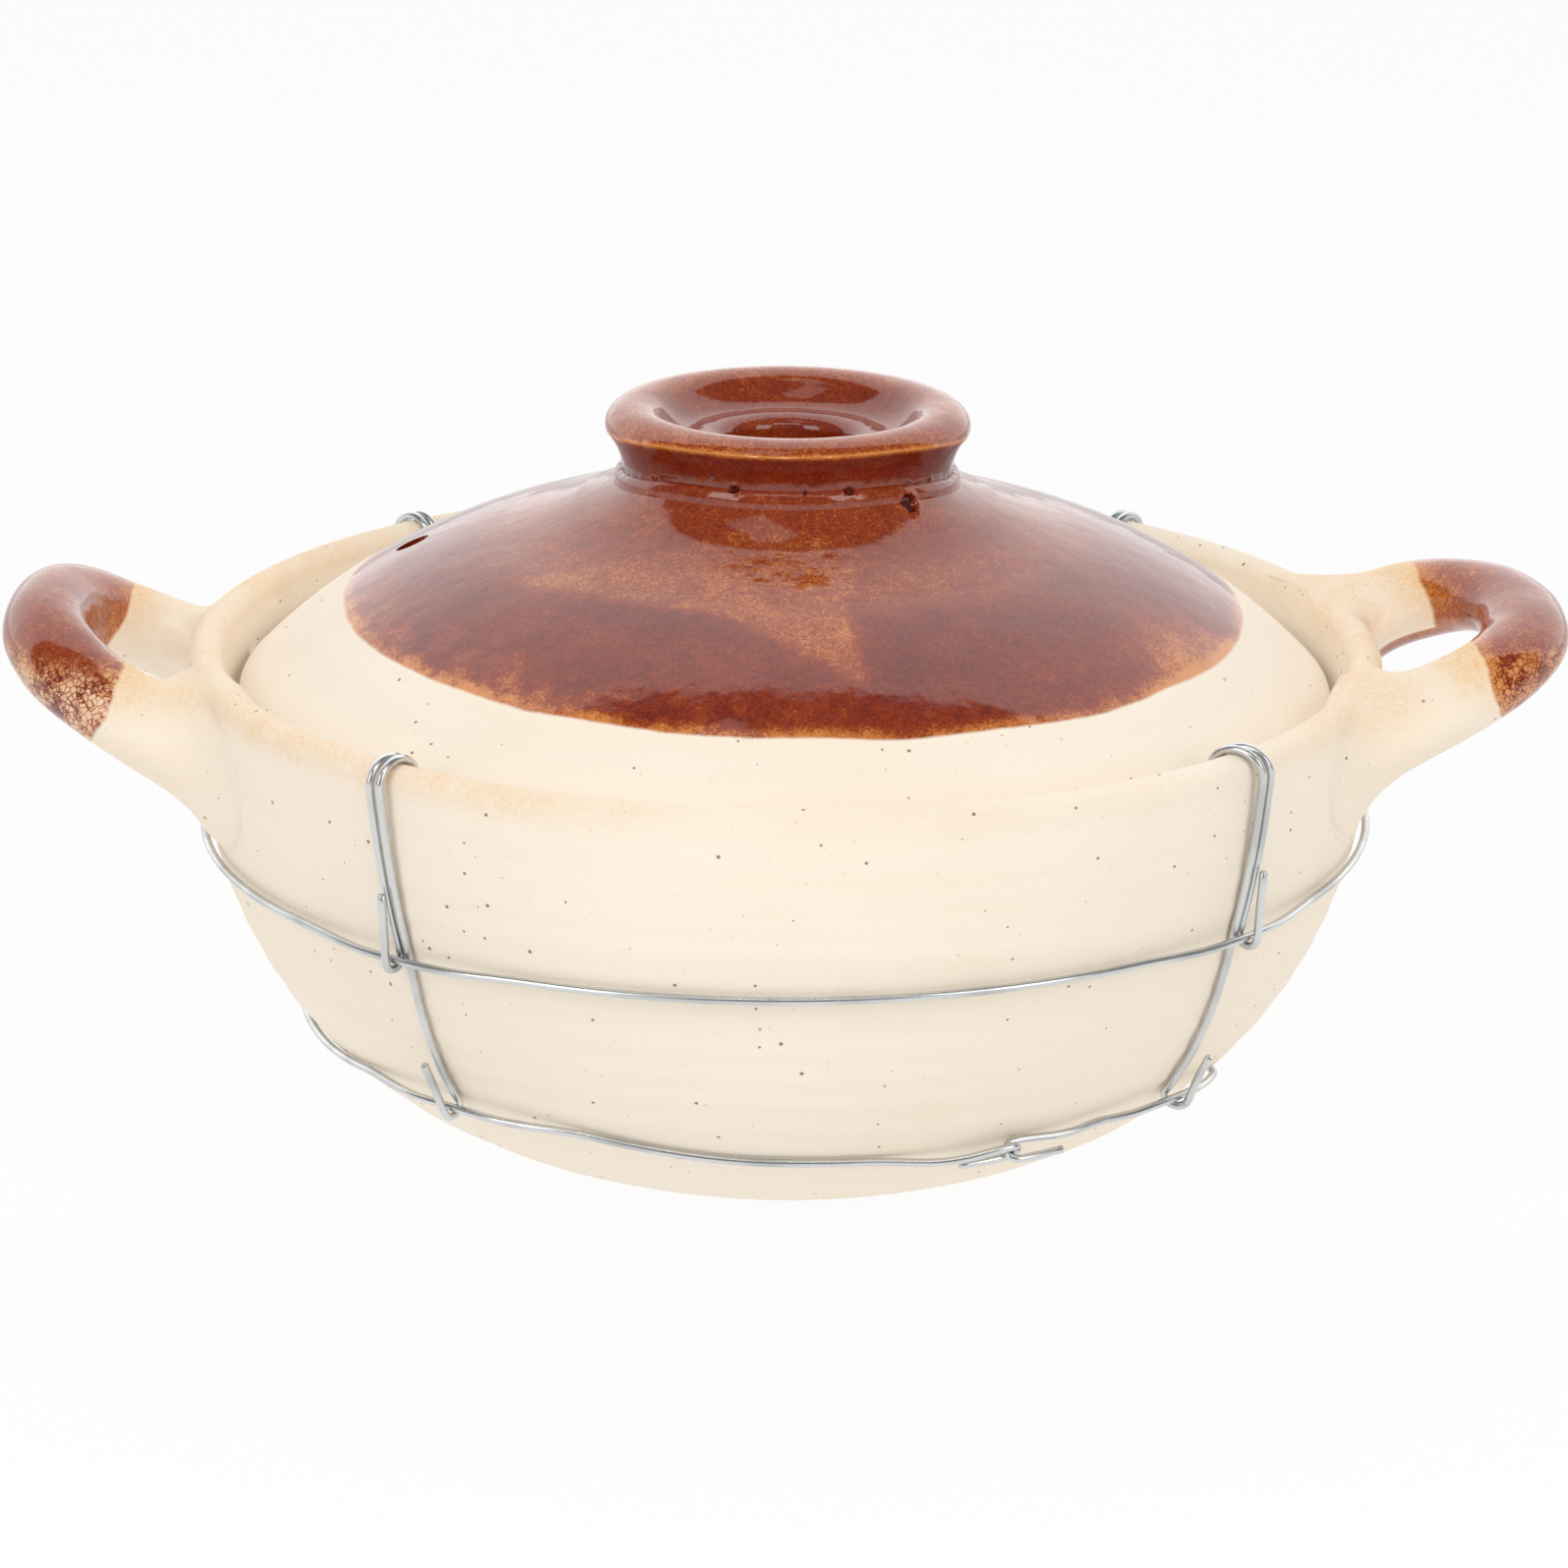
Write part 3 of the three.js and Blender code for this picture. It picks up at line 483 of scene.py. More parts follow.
class HandleLoop:
    """One loop handle, drawn on the +X side and then turned to its azimuth.

    legs is the share of each half of the coil that runs straight into the wall, end_depth is how far inside
    the rim's radius it is cut off, and dent_turns is how closely its dents follow each other. Drops, bulges
    and squareness are given for the arms at -Y and at +Y, before the loop is turned.
    """

    legs = 0.22
    end_depth = 5 * MM
    dent_turns = 9

    def __init__(self, bowl, sizes, azimuth, tip_rise, tip_swell, drops, bulges, squareness, seed):
        self.bowl = bowl
        self.sizes = sizes
        self.azimuth = azimuth
        self.tip_rise = tip_rise
        self.tip_swell = tip_swell
        self.drops = drops
        self.bulges = bulges
        self.squareness = squareness
        self.seed = seed

    def middle(self, turns):
        """Middle of the coil, from -1 at one root, deep in the wall, to 1 at the other."""
        sizes = self.sizes
        half = sizes.spread / 2
        root_x = math.sqrt(self.bowl.radius ** 2 - half ** 2) - sizes.width / 2
        tip_x = self.bowl.radius + sizes.reach - (sizes.width + sizes.unevenness) / 2
        angles = np.clip(turns / (1 - self.legs), -1, 1) * math.pi / 2
        sunk = np.maximum(0, np.abs(turns) - (1 - self.legs)) / self.legs
        first = turns < 0
        power = 2 / np.where(first, *self.squareness)
        out = np.abs(np.cos(angles)) ** power
        x = root_x + (tip_x - root_x) * out - (sizes.width + sizes.root_spread) * sunk
        y = half * np.sign(angles) * np.abs(np.sin(angles)) ** power
        drops = np.where(first, *self.drops)
        climb = out * (1 + np.where(first, *self.bulges) * (1 - out))
        z = self.bowl.height + (self.tip_rise + drops) * climb - drops
        return np.column_stack([x, y, z]), out

    def rings(self, steps, around):
        """Rings of points round the coil, and the directions out of it."""
        sizes = self.sizes
        turns = np.linspace(-1, 1, steps + 1)
        middle, out = self.middle(turns)
        nearby = 0.02
        along = normalised(self.middle(turns + nearby)[0] - self.middle(turns - nearby)[0])
        across = normalised(np.cross((0, 0, 1), along))
        up = np.cross(along, across)
        root = (1 - out) ** 2
        around_turns = full_turn(around)
        dents = sizes.unevenness * waves(turns[:, None] * self.dent_turns, around_turns[None], self.seed)
        wide = (sizes.width / 2 + sizes.root_spread * root)[:, None] * np.cos(around_turns)
        deep = sizes.depth / 2 + sizes.root_smear * root + self.tip_swell * out ** 4
        deep = deep[:, None] * np.sin(around_turns)
        arms = across[:, None] * wide[..., None] + up[:, None] * deep[..., None]
        outwards = normalised(arms)
        rings = middle[:, None] + arms + outwards * dents[..., None]
        rings, outwards = self.trimmed(rings, outwards, self.bowl.radius - self.end_depth)
        turn = np.array(Matrix.Rotation(self.azimuth, 3, "Z"))
        return rings @ turn.T, outwards @ turn.T

    @staticmethod
    def trimmed(rings, outwards, radius):
        """The coil with both ends cut off at a radius, in the middle of the wall."""
        steps = np.arange(len(rings))
        trimmed, turned_out = np.empty_like(rings), np.empty_like(outwards)
        for j in range(rings.shape[1]):
            radii = np.hypot(rings[:, j, 0], rings[:, j, 1])
            outside = np.flatnonzero(radii > radius)
            first, last = outside[0], outside[-1]
            start = first - (radii[first] - radius) / (radii[first] - radii[first - 1])
            end = last + (radii[last] - radius) / (radii[last] - radii[last + 1])
            rows = np.linspace(start, end, len(rings))
            for k in range(3):
                trimmed[:, j, k] = np.interp(rows, steps, rings[:, j, k])
                turned_out[:, j, k] = np.interp(rows, steps, outwards[:, j, k])
        return trimmed, normalised(turned_out)


def smoothed_out(near, far, fillet):
    """Distance from two surfaces joined by a fillet, from the distances of each."""
    overlap = np.maximum(fillet - np.abs(near - far), 0)
    return np.minimum(near, far) - overlap ** 2 / (4 * fillet)


def evened(grid, times):
    """A grid whose rows close on themselves, each value drawn towards its neighbours."""
    for _ in range(times):
        padded = np.vstack([grid[:1], grid, grid[-1:]])
        beside = np.roll(grid, 1, axis=1) + np.roll(grid, -1, axis=1)
        grid = (2 * grid + padded[:-2] + padded[2:] + beside) / 6
    return grid


def fillet_roots(rings, outwards, side, bowl, fillet):
    """Coil rings moved out so that both roots flow into the bowl.

    Also gives how far their points then lie out of the bowl, and the way out of it there. The run-out of a
    root is buried in the clay, deeper towards its end.
    """
    thin_bury, end_bury, tiny = 0.1 * MM, 1.2 * MM, 1e-9
    furthest, halvings, evenings = 2.2 * fillet, 22, 8
    points, square = rings.reshape(-1, 3), outwards.reshape(-1, 3)
    low = np.zeros(len(points))
    high = np.full(len(points), furthest)

    def gap(moves):
        bury = thin_bury + end_bury * smoothstep(moves, 0.7 * fillet, 1.5 * fillet)
        near = side.distance(points + square * moves[:, None], bowl.rim_round)[0] + bury
        return smoothed_out(near, moves, fillet)

    inside = gap(high) < 0
    clear = gap(low) > -tiny
    for _ in range(halvings):
        middle = (low + high) / 2
        under = gap(middle) < 0
        low = np.where(under, middle, low)
        high = np.where(under, high, middle)
    moves = np.where(clear, 0, np.where(inside, fillet, (low + high) / 2))
    moves = evened(moves.reshape(rings.shape[:2]), evenings).ravel()
    moved = points + square * moves[:, None]
    distances, directions = side.distance(moved, bowl.rim_round)
    return moved, distances, directions


class WireCage:
    """What the wires share: the bowl's side, and the room that they keep to it and to each other."""

    def __init__(self, side, wire):
        self.side = side
        self.wire = wire
        self.rest = wire.diameter / 2 + wire.gap
        self.hook = wire.diameter + wire.gap
        self.swollen = self.rest + self.hook
        self.half_turn = np.linspace(0, math.pi, 13)


class Hoop:
    """One wire round the bowl, its ends bent into two hooks that hold one another."""

    def __init__(self, cage, height, drop, lift, sag, slack, joint, strands):
        self.cage = cage
        self.height = height
        self.drop = drop
        self.lift = lift
        self.sag = sag
        self.slack = slack
        self.joint = joint
        self.strands = strands

    def distance(self, azimuths, places):
        """Distance round the bowl to the nearest of some places."""
        apart = np.abs(np.sin((np.reshape(azimuths, (-1, 1)) - np.asarray(places)) / 2))
        return 2 * self.cage.side.radius(self.height) * apart.min(axis=1)

    def heights(self, azimuths):
        """Where the hoop lies on the clay: tilted, pulled up by its hangers and sagging on the right."""
        wire = self.cage.wire
        slack = smoothstep(self.distance(azimuths, self.strands), 0, wire.lift_span)
        sag = smoothstep(np.cos(np.subtract(azimuths, wire.sag_azimuth)), math.cos(wire.sag_span), 1)
        return self.height - self.drop * np.cos(azimuths) + self.lift * (1 - slack) - self.sag * sag

    def rests(self, azimuths):
        """Clay to the middle of the wire, which swells out over each strand and over its own joint."""
        wire, cage = self.cage.wire, self.cage
        lying = smoothstep(self.distance(azimuths, [*self.strands, self.joint]), wire.hold, wire.swell)
        return cage.swollen + (cage.rest + self.slack - cage.swollen) * lying

    def path(self):
        """Middle of the wire, from the tail that lies in front round to the other."""
        cage, wire = self.cage, self.cage.wire
        hook, half = cage.hook, cage.half_turn
        radius = cage.side.radius(self.height) + cage.swollen

        def place(along, out, up):
            along, out, up = np.broadcast_arrays(np.atleast_1d(along), out, up)
            azimuths = self.joint + along / radius
            return cage.side.spot(azimuths, self.heights(azimuths), self.rests(azimuths) + out, up)

        reach = hook / 2
        turn = 2 * math.pi * radius
        start = reach + wire.hoop_ease
        tail = np.array([wire.hoop_tail, wire.hoop_tail / 2])
        shares = np.linspace(0, 1, 9)[1:]
        ease = smoothstep(shares, 0, 1)
        return np.vstack([
            place(reach + tail, hook, -wire.tail_fall * tail / wire.hoop_tail),
            place(reach - hook * np.sin(half), hook * np.cos(half), 0),
            place(reach + shares * wire.hoop_ease, hook * (ease - 1), 0),
            place(np.linspace(start, turn - start, 200)[1:-1], 0, 0),
            place(turn - reach - shares[::-1] * wire.hoop_ease, 0, hook * (1 - ease[::-1])),
            place(turn - reach + hook * np.sin(half), 0, hook * np.cos(half)),
            place(turn - reach - tail[::-1], 0, -hook),
        ])


class Hanger:
    """One bent wire: a hook round the lower hoop, up over the rim, and back to a hook round the upper hoop.

    Its strands pass behind the hoops. rim, inside, waist and foot are its azimuths in degrees: at the rim, at
    its hairpin in the gallery, and at the upper and lower hoop. side is the way from its long strand to its
    short one, and spread is how far, in millimetres, its lower hook opens to that side.
    """

    def __init__(self, name, rim, inside, waist, foot, side, spread):
        self.name = name
        self.rim = math.radians(rim)
        self.inside = math.radians(inside)
        self.waist = math.radians(waist)
        self.foot = math.radians(foot)
        self.side = side
        self.spread = spread * MM

    def end_hook(self, hoop, azimuth, spread, tail):
        """From behind a hoop round under it, and up in front to the cut end."""
        cage = hoop.cage
        hook, half = cage.hook, cage.half_turn
        height = hoop.heights([azimuth])[0]
        radius = cage.side.radius(height) + cage.swollen
        across = np.concatenate([spread * half / math.pi, [spread / 2, spread / 4]])
        out = np.concatenate([-hook * np.cos(half), [hook / 2, 0]])
        up = np.concatenate([-hook * np.sin(half), [tail / 2, tail]])
        return cage.side.spot(azimuth + self.side * across / radius, height, cage.swollen + out, up)

    def path(self, upper, lower, bowl):
        """Middle of the wire, from its lower cut end to its upper one."""
        cage, wire, side = upper.cage, upper.cage.wire, upper.cage.side
        pitch = wire.diameter + wire.strand_gap
        shift = self.side * pitch / 2 / bowl.radius
        part = self.side * wire.strand_part / 2 / side.radius(upper.height)
        crossing = self.rim_crossing(cage, bowl, pitch)
        leans = np.linspace(self.rim, self.inside, len(crossing))
        end = crossing[-1]
        bend = cage.half_turn[1:-1]
        hairpin = polar(self.inside - shift * np.cos(bend), end[0], end[1] - pitch / 2 * np.sin(bend))

        def at_rim(azimuth):
            return np.array([azimuth, side.rim_centre[1], cage.rest + wire.rim_slack])

        def behind(hoop, azimuth):
            return np.array([azimuth, hoop.heights([azimuth])[0], cage.rest])

        def run(start, finish, steps):
            way = start + (finish - start) * np.linspace(0, 1, steps + 1)[1:, None]
            return side.spot(way[:, 0], way[:, 1], way[:, 2])

        def over(aside):
            return polar(leans + aside, crossing[:, 0], crossing[:, 1])

        long_waist = behind(upper, self.waist - part)
        short_waist = behind(upper, self.waist + part)
        return np.vstack([
            self.end_hook(lower, self.foot, self.spread, wire.lower_tail)[::-1],
            run(behind(lower, self.foot), long_waist, 14),
            run(long_waist, at_rim(self.rim - shift), 6)[:-1],
            over(-shift),
            hairpin,
            over(shift)[::-1],
            run(at_rim(self.rim + shift), short_waist, 6)[:-1],
            self.end_hook(upper, self.waist + part, wire.upper_spread, wire.upper_tail),
        ])

    @staticmethod
    def rim_crossing(cage, bowl, pitch):
        """Way of one strand over the rim, from outside to inside, as radius and height."""
        wire, centre = cage.wire, cage.side.rim_centre
        across = bowl.rim_round + cage.rest
        slack = wire.rim_slack / 2
        hollow = 2 * MM
        seat = bowl.height - bowl.seat_depth
        gallery = bowl.radius - bowl.gallery_wall
        slope = (centre[0] - bowl.rim_round - gallery) / (centre[1] - seat - hollow)
        end = bowl.height - wire.hairpin_drop + pitch / 2
        inner = centre[0] - across - (centre[1] - end) * slope
        bend = arc(centre + (slack, 0), across + slack, across, 0, math.pi, 13)
        return np.vstack([bend, (inner, end)])


def bent_smooth(points, steps):
    """Points close together on the smooth curve through some points."""
    padded = np.vstack([2 * points[0] - points[1], points, 2 * points[-1] - points[-2]])
    chords = np.linalg.norm(np.diff(padded, axis=0), axis=1)
    knots = np.concatenate([[0], np.cumsum(np.sqrt(chords))])
    runs = []
    for i in range(len(points) - 1):
        p, k = padded[i:i + 4], knots[i:i + 4]
        t = np.linspace(k[1], k[2], steps, endpoint=False)[:, None]
        a = [p[j] + (p[j + 1] - p[j]) * (t - k[j]) / (k[j + 1] - k[j]) for j in range(3)]
        b = [a[j] + (a[j + 1] - a[j]) * (t - k[j]) / (k[j + 2] - k[j]) for j in range(2)]
        runs.append(b[0] + (b[1] - b[0]) * (t - k[1]) / (k[2] - k[1]))
    return np.vstack([*runs, points[-1:]])


def wire_skin(path, radius, around):
    """Points and faces of a wire along a path, with cut ends whose edges are broken."""
    askew, broken = (0.3, 0.5, 0.8), 0.16
    along = normalised(np.gradient(path, axis=0))
    across = np.cross(along[0], askew)
    turns = full_turn(around)
    rings = []
    for point, direction in zip(path, along):
        across = across - direction * np.dot(across, direction)
        across = across / np.linalg.norm(across)
        other = np.cross(direction, across)
        rings.append(point + radius * (np.outer(np.cos(turns), across) + np.outer(np.sin(turns), other)))
    first = path[0] + (rings[0] - path[0]) * (1 - broken) - along[0] * broken * radius
    last = path[-1] + (rings[-1] - path[-1]) * (1 - broken) + along[-1] * broken * radius
    rings = [first, *rings, last]
    return np.array(rings), capped_faces(len(rings), around)


class LidSection:
    """Curves of the lid's dome and of the knob on it, as radius and height."""

    def __init__(self, lid):
        self.lid = lid
        slope = math.atan(3 * lid.rise / lid.radius)
        self.edge_slope = slope
        self.edge_centre = np.array([lid.radius - lid.edge, lid.bottom + lid.edge])
        self.shoulder = self.edge_centre + lid.edge * np.array([math.sin(slope), math.cos(slope)])
        self.crown = self.shoulder[1] + self.fall(self.shoulder[0])

    def fall(self, radii):
        """How far the dome has fallen from its crown."""
        shares = (np.asarray(radii) / self.lid.radius) ** 2
        return self.lid.rise * (shares + shares ** 2) / 2

    def dome(self, radii, depth=0.0):
        """Points of the dome, moved square into the clay."""
        radii = np.atleast_1d(radii)
        shares = radii / self.lid.radius
        slopes = self.lid.rise * (shares + 2 * shares ** 3) / self.lid.radius
        inward = normalised(np.column_stack([-slopes, -np.ones_like(slopes)]))
        return np.column_stack([radii, self.crown - self.fall(radii)]) + inward * depth

    def shell(self):
        """The lid's section from the middle of its underside, and the first row of its outside."""
        lid = self.lid
        flat_inner = lid.radius - lid.flat
        worn_in, worn_out = 3 * MM, 2 * MM
        hollow = self.dome(np.linspace(0, flat_inner - worn_in, 60), lid.wall)
        hollow[0, 0] = 0
        flat_start = (flat_inner + worn_out, lid.bottom)
        under = joined(
            hollow,
            curve([hollow[-1], (flat_inner, lid.bottom), flat_start], 9),
            straight(flat_start, (self.edge_centre[0], lid.bottom), MM),
        )
        edge = arc(self.edge_centre, lid.edge, lid.edge, -math.pi / 2, math.pi / 2 - self.edge_slope, 20)
        outside = self.dome(np.linspace(self.shoulder[0], 0, 100))
        return joined(under, edge, outside), len(under)

    def knob(self, front):
        """The knob's section, from the hole over its sole and round to the hole again.

        front runs from 0 behind and at the sides to 1 in front. Also gives the last row of each run: the
        sole, the skirt, the foot, the bead up to the seam, the neck up to the lip's edge, and the rest.
        """
        lid = self.lid
        sole_sink, skirt_sink, hole_sink = MM, 0.04 * MM, 0.25 * MM
        foot_bend, hole_step = (0.55, 0.36), 0.8 * MM

        def between(side_value, front_value):
            return side_value + (front_value - side_value) * front

        height = lid.knob_top - self.crown
        lip = np.array([lid.knob_radius - lid.lip_width / 2, lid.knob_top - lid.lip_round])
        lip_turn = between(lid.lip_turn, lid.lip_front_turn)
        rolled = arc(lip, lid.lip_width / 2, lid.lip_round, -lip_turn, lid.dish_turn, 40)
        edge, brow = rolled[0], rolled[-1]
        within = lid.knob_radius - lid.lip_width
        shelf = lid.knob_top - lid.dish_depth
        brow_slope = lid.lip_round / lid.lip_width * 2 / -math.tan(lid.dish_turn)
        dish_end = (within - lid.dish_inset, shelf)
        hole_top = (within - lid.hole_inset, shelf - lid.hole_round)
        neck_share = between(lid.neck_share, lid.neck_front_share)
        neck = np.array([lid.knob_radius - lid.neck_inset, self.crown + height * neck_share])
        bead_foot = neck + (lid.bead_swell, -between(lid.bead_height, lid.bead_front_height))
        foot = self.dome(lid.knob_radius + lid.knob_foot)[0] + (0, lid.foot_fill)
        bend = foot + (bead_foot - foot) * foot_bend
        skirt_radius = foot[0] + lid.skirt
        skirt_out = self.dome(skirt_radius, skirt_sink)[0]
        pull = lid.skirt / 3
        skirt_pull = foot + (pull, -pull * math.tan(lid.skirt_slope))
        skirt_lift = skirt_out + (-pull, pull * math.tan(lid.skirt_end_slope))
        foot_in = self.dome(hole_top[0] - lid.hole_taper, hole_sink)[0]
        dish_corner = (brow[0] - (brow[1] - shelf) / brow_slope, shelf)
        runs = [
            self.dome(np.linspace(foot_in[0], skirt_radius, 12), sole_sink),
            curve([skirt_out, skirt_lift, skirt_pull, foot], 30),
            curve([foot, bend, bead_foot], 16)[1:],
            curve([bead_foot, (bead_foot[0], neck[1]), neck], 14)[1:],
            curve([neck, (neck[0], (neck[1] + edge[1]) / 2), edge], 18)[1:],
            rolled[1:],
            curve([brow, dish_corner, dish_end], 18)[1:],
            curve([dish_end, (hole_top[0], shelf), hole_top], 14)[1:],
            straight(hole_top, foot_in, hole_step)[1:],
        ]
        return np.vstack(runs), np.cumsum([len(run) for run in runs]) - 1


def seam_marks(radius, azimuths, from_seam, from_edge):
    """Dents along the knob's seam and its lip's edge, and scars of the seam, as moves out of the clay.

    Also gives how much of each point's skin the scars take, from 0 to 1.
    """
    moves = 0.2 * MM * waves(azimuths * 31, azimuths * 19, 4) * bell(from_seam, 0.9 * MM)
    moves += 0.12 * MM * waves(azimuths * 9, azimuths * 13, 6) * bell(from_edge, 1.2 * MM)
    floor, burr, burr_width, burr_height = 0.55, 1.1, 0.2, 0.25
    scars = np.zeros_like(from_seam)
    for turn, above_seam, reach, depth in SEAM_SCARS:
        beside = azimuths - math.radians(turn)
        apart = np.hypot(radius * np.sin(beside), from_seam - above_seam * MM) / (reach * MM)
        here = (np.cos(beside) > 0) * (from_edge < 0)
        scar = here * (1 - smoothstep(apart, floor, 1))
        moves += depth * MM * (burr_height * here * bell(apart - burr, burr_width) - scar)
        scars = np.maximum(scars, scar)
    return moves, scars


def knob_thinness_and_neck_shade(from_seam, from_edge, scars, skirt):
    """How thin the knob's glaze lies: thinnest at the lip's edge, thin on the lip and thick in the scars; the
    neck under the lip is darkened as painted shade.

    On the rows up to the skirt's last it fades to the plain glaze of the dome.
    """
    # Mask of the neck under the lip, which is darkened as painted shade.
    neck = smoothstep(from_seam, -0.5 * MM, 0.8 * MM) * (1 - smoothstep(from_edge, -1.4 * MM, -0.4 * MM))
    foot = band(from_seam, (-14 * MM, -9 * MM), (-3 * MM, -1 * MM))
    lip = band(from_edge, (0, 2 * MM), (10 * MM, 16 * MM))
    thin = 0.6 * bell(from_edge, 0.7 * MM) - 0.12
    thin += 0.16 * lip - 0.14 * neck + 0.04 * foot - 0.6 * scars
    thin[:skirt + 1] *= smoothstep(from_seam, -30 * MM, -14 * MM)[:skirt + 1]
    return thin


class Socket:
    """An output of a node. Sums on it add Math nodes."""

    def __init__(self, nodes, output):
        self.nodes = nodes
        self.output = output

    def other(self, name):
        """Another output of the same node."""
        return Socket(self.nodes, self.output.node.outputs[name])

    def maths(self, operation, first, second):
        return self.nodes.add("ShaderNodeMath", {"operation": operation}, {0: first, 1: second})

    def __add__(self, other):
        return self.maths("ADD", self, other)

    def __radd__(self, other):
        return self.maths("ADD", other, self)

    def __sub__(self, other):
        return self.maths("SUBTRACT", self, other)

    def __rsub__(self, other):
        return self.maths("SUBTRACT", other, self)

    def __mul__(self, other):
        return self.maths("MULTIPLY", self, other)

    def __rmul__(self, other):
        return self.maths("MULTIPLY", other, self)

    def __truediv__(self, other):
        return self.maths("DIVIDE", self, other)

    def __rtruediv__(self, other):
        return self.maths("DIVIDE", other, self)

    def __pow__(self, other):
        return self.maths("POWER", self, other)

    def __rpow__(self, other):
        return self.maths("POWER", other, self)

    def least(self, other):
        return self.maths("MINIMUM", self, other)

    def most(self, other):
        return self.maths("MAXIMUM", self, other)

    def eased(self, low, high, start=0.0, end=1.0):
        """Start below low, end above high, eased between them."""
        return self.nodes.add(
            "ShaderNodeMapRange", {"interpolation_type": "SMOOTHSTEP"},
            {"Value": self, "From Min": low, "From Max": high, "To Min": start, "To Max": end})


class Nodes:
    """The nodes of one material, or of the world."""

    def __init__(self, tree):
        self.tree = tree
        tree.nodes.clear()

    def add(self, kind, settings=None, sockets=None, output=0):
        """A node of a kind, with its settings, then the values or links of its sockets."""
        node = self.tree.nodes.new(kind)
        for name, value in (settings or {}).items():
            if name == "stops":
                self.set_stops(node.color_ramp, value)
            else:
                setattr(node, name, value)
        for name, value in (sockets or {}).items():
            if isinstance(value, Socket):
                self.tree.links.new(value.output, node.inputs[name])
            else:
                node.inputs[name].default_value = value
        return Socket(self, node.outputs[output]) if node.outputs else None

    @staticmethod
    def set_stops(ramp, stops):
        while len(ramp.elements) < len(stops):
            ramp.elements.new(1.0)
        for element, (position, tint) in zip(ramp.elements, stops):
            element.position = position
            element.color = (*tint, 1)

    def noise(self, place, scale, detail=2.0, roughness=0.5, distortion=0.0):
        sockets = {"Vector": place, "Scale": scale, "Detail": detail, "Roughness": roughness}
        return self.add("ShaderNodeTexNoise", None, {**sockets, "Distortion": distortion})

    def scaled(self, place, factors):
        return self.add("ShaderNodeVectorMath", {"operation": "MULTIPLY"}, {0: place, 1: factors})

    def tint(self, factor, first, second):
        """Colour mixed from two."""
        ends = [c if isinstance(c, Socket) else (*c, 1) for c in (first, second)]
        return self.add("ShaderNodeMix", {"data_type": "RGBA"}, {0: factor, 6: ends[0], 7: ends[1]}, 2)

    def place(self):
        """Where a point lies on its own piece."""
        return self.add("ShaderNodeTexCoord", output="Object")

    def measures(self, place):
        """X, Y and Z of a place."""
        x = self.add("ShaderNodeSeparateXYZ", None, {"Vector": place})
        return x, x.other("Y"), x.other("Z")

    def bump(self, height, depth):
        """Surface raised by a height of 0 to 1, over a depth in metres."""
        return self.add("ShaderNodeBump", None, {"Height": height, "Distance": depth, "Strength": 1.0})

    def surface(self, shader):
        self.add("ShaderNodeOutputMaterial", None, {"Surface": shader})

    def coated_surface(self, cover, under, coat):
        """One shader under another, which shows as far as it covers the first."""
        self.surface(self.add("ShaderNodeMixShader", None, {0: cover, 1: under, 2: coat}))


def new_material(name):
    material = bpy.data.materials.new(name)
    material.use_nodes = True
    return material, Nodes(material.node_tree)


def specks(nodes, place, spacing, smallest, largest):
    """Round specks of mixed sizes, about a spacing apart."""
    cell = nodes.add(
        "ShaderNodeTexVoronoi", {"feature": "F1"}, {"Vector": place, "Scale": 1 / spacing, "Randomness": 1.0})
    chance = nodes.add("ShaderNodeSeparateColor", None, {"Color": cell.other("Color")})
    reach = smallest / spacing + chance * chance * ((largest - smallest) / spacing)
    return 1 - (cell / reach).eased(0.65, 1.0)


def clay_body(nodes, place, blush_and_shade, finish):
    """Bare stoneware: cream, clouded, specked with iron, and toasted where the fire reached it. Its blush
    share also carries a painted warm shade on the bowl's flanks.
    """
    clouds = nodes.noise(place, 14, 3)
    bands = nodes.noise(nodes.scaled(place, (9, 9, 170)), 1, 3)
    dust = nodes.noise(place, 900, 3, 0.7)
    shade = clouds.eased(0.35, 0.75) * 0.4 + bands.eased(0.4, 0.8) * 0.22 + dust.eased(0.5, 0.75) * 0.16
    base = nodes.tint(shade, finish.clay, finish.clay_shade)
    grain = nodes.noise(place, 1300, 3, 0.65)
    drift = nodes.noise(place, 90, 4, 0.6)
    toast_and_shade = (blush_and_shade * (0.75 + (grain - 0.5) * 1.5 + (drift - 0.5) * 0.9)).eased(0.0, 0.9)
    base = nodes.tint(toast_and_shade * 0.85, base, finish.blush_and_shade)
    iron = specks(nodes, place, 3.9 * MM, 0.14 * MM, 0.5 * MM)
    base = nodes.tint(iron * 0.8, base, finish.iron)
    sand = specks(nodes, place, 2.2 * MM, 0.1 * MM, 0.3 * MM)
    base = nodes.tint(sand * 0.5, base, finish.blush_and_shade)
    pits = specks(nodes, place, 3.1 * MM, 0.05 * MM, 0.2 * MM)
    height = bands * 0.35 + dust * 0.25 + nodes.noise(place, 260, 3) * 0.5 - pits * 0.5
    return nodes.add("ShaderNodeBsdfPrincipled", None, {
        "Base Color": base,
        "Roughness": 0.78 + dust * 0.14 - toast_and_shade * 0.12,
        "Specular IOR Level": 0.3,
        "Normal": nodes.bump(height, 0.12 * MM),
    })


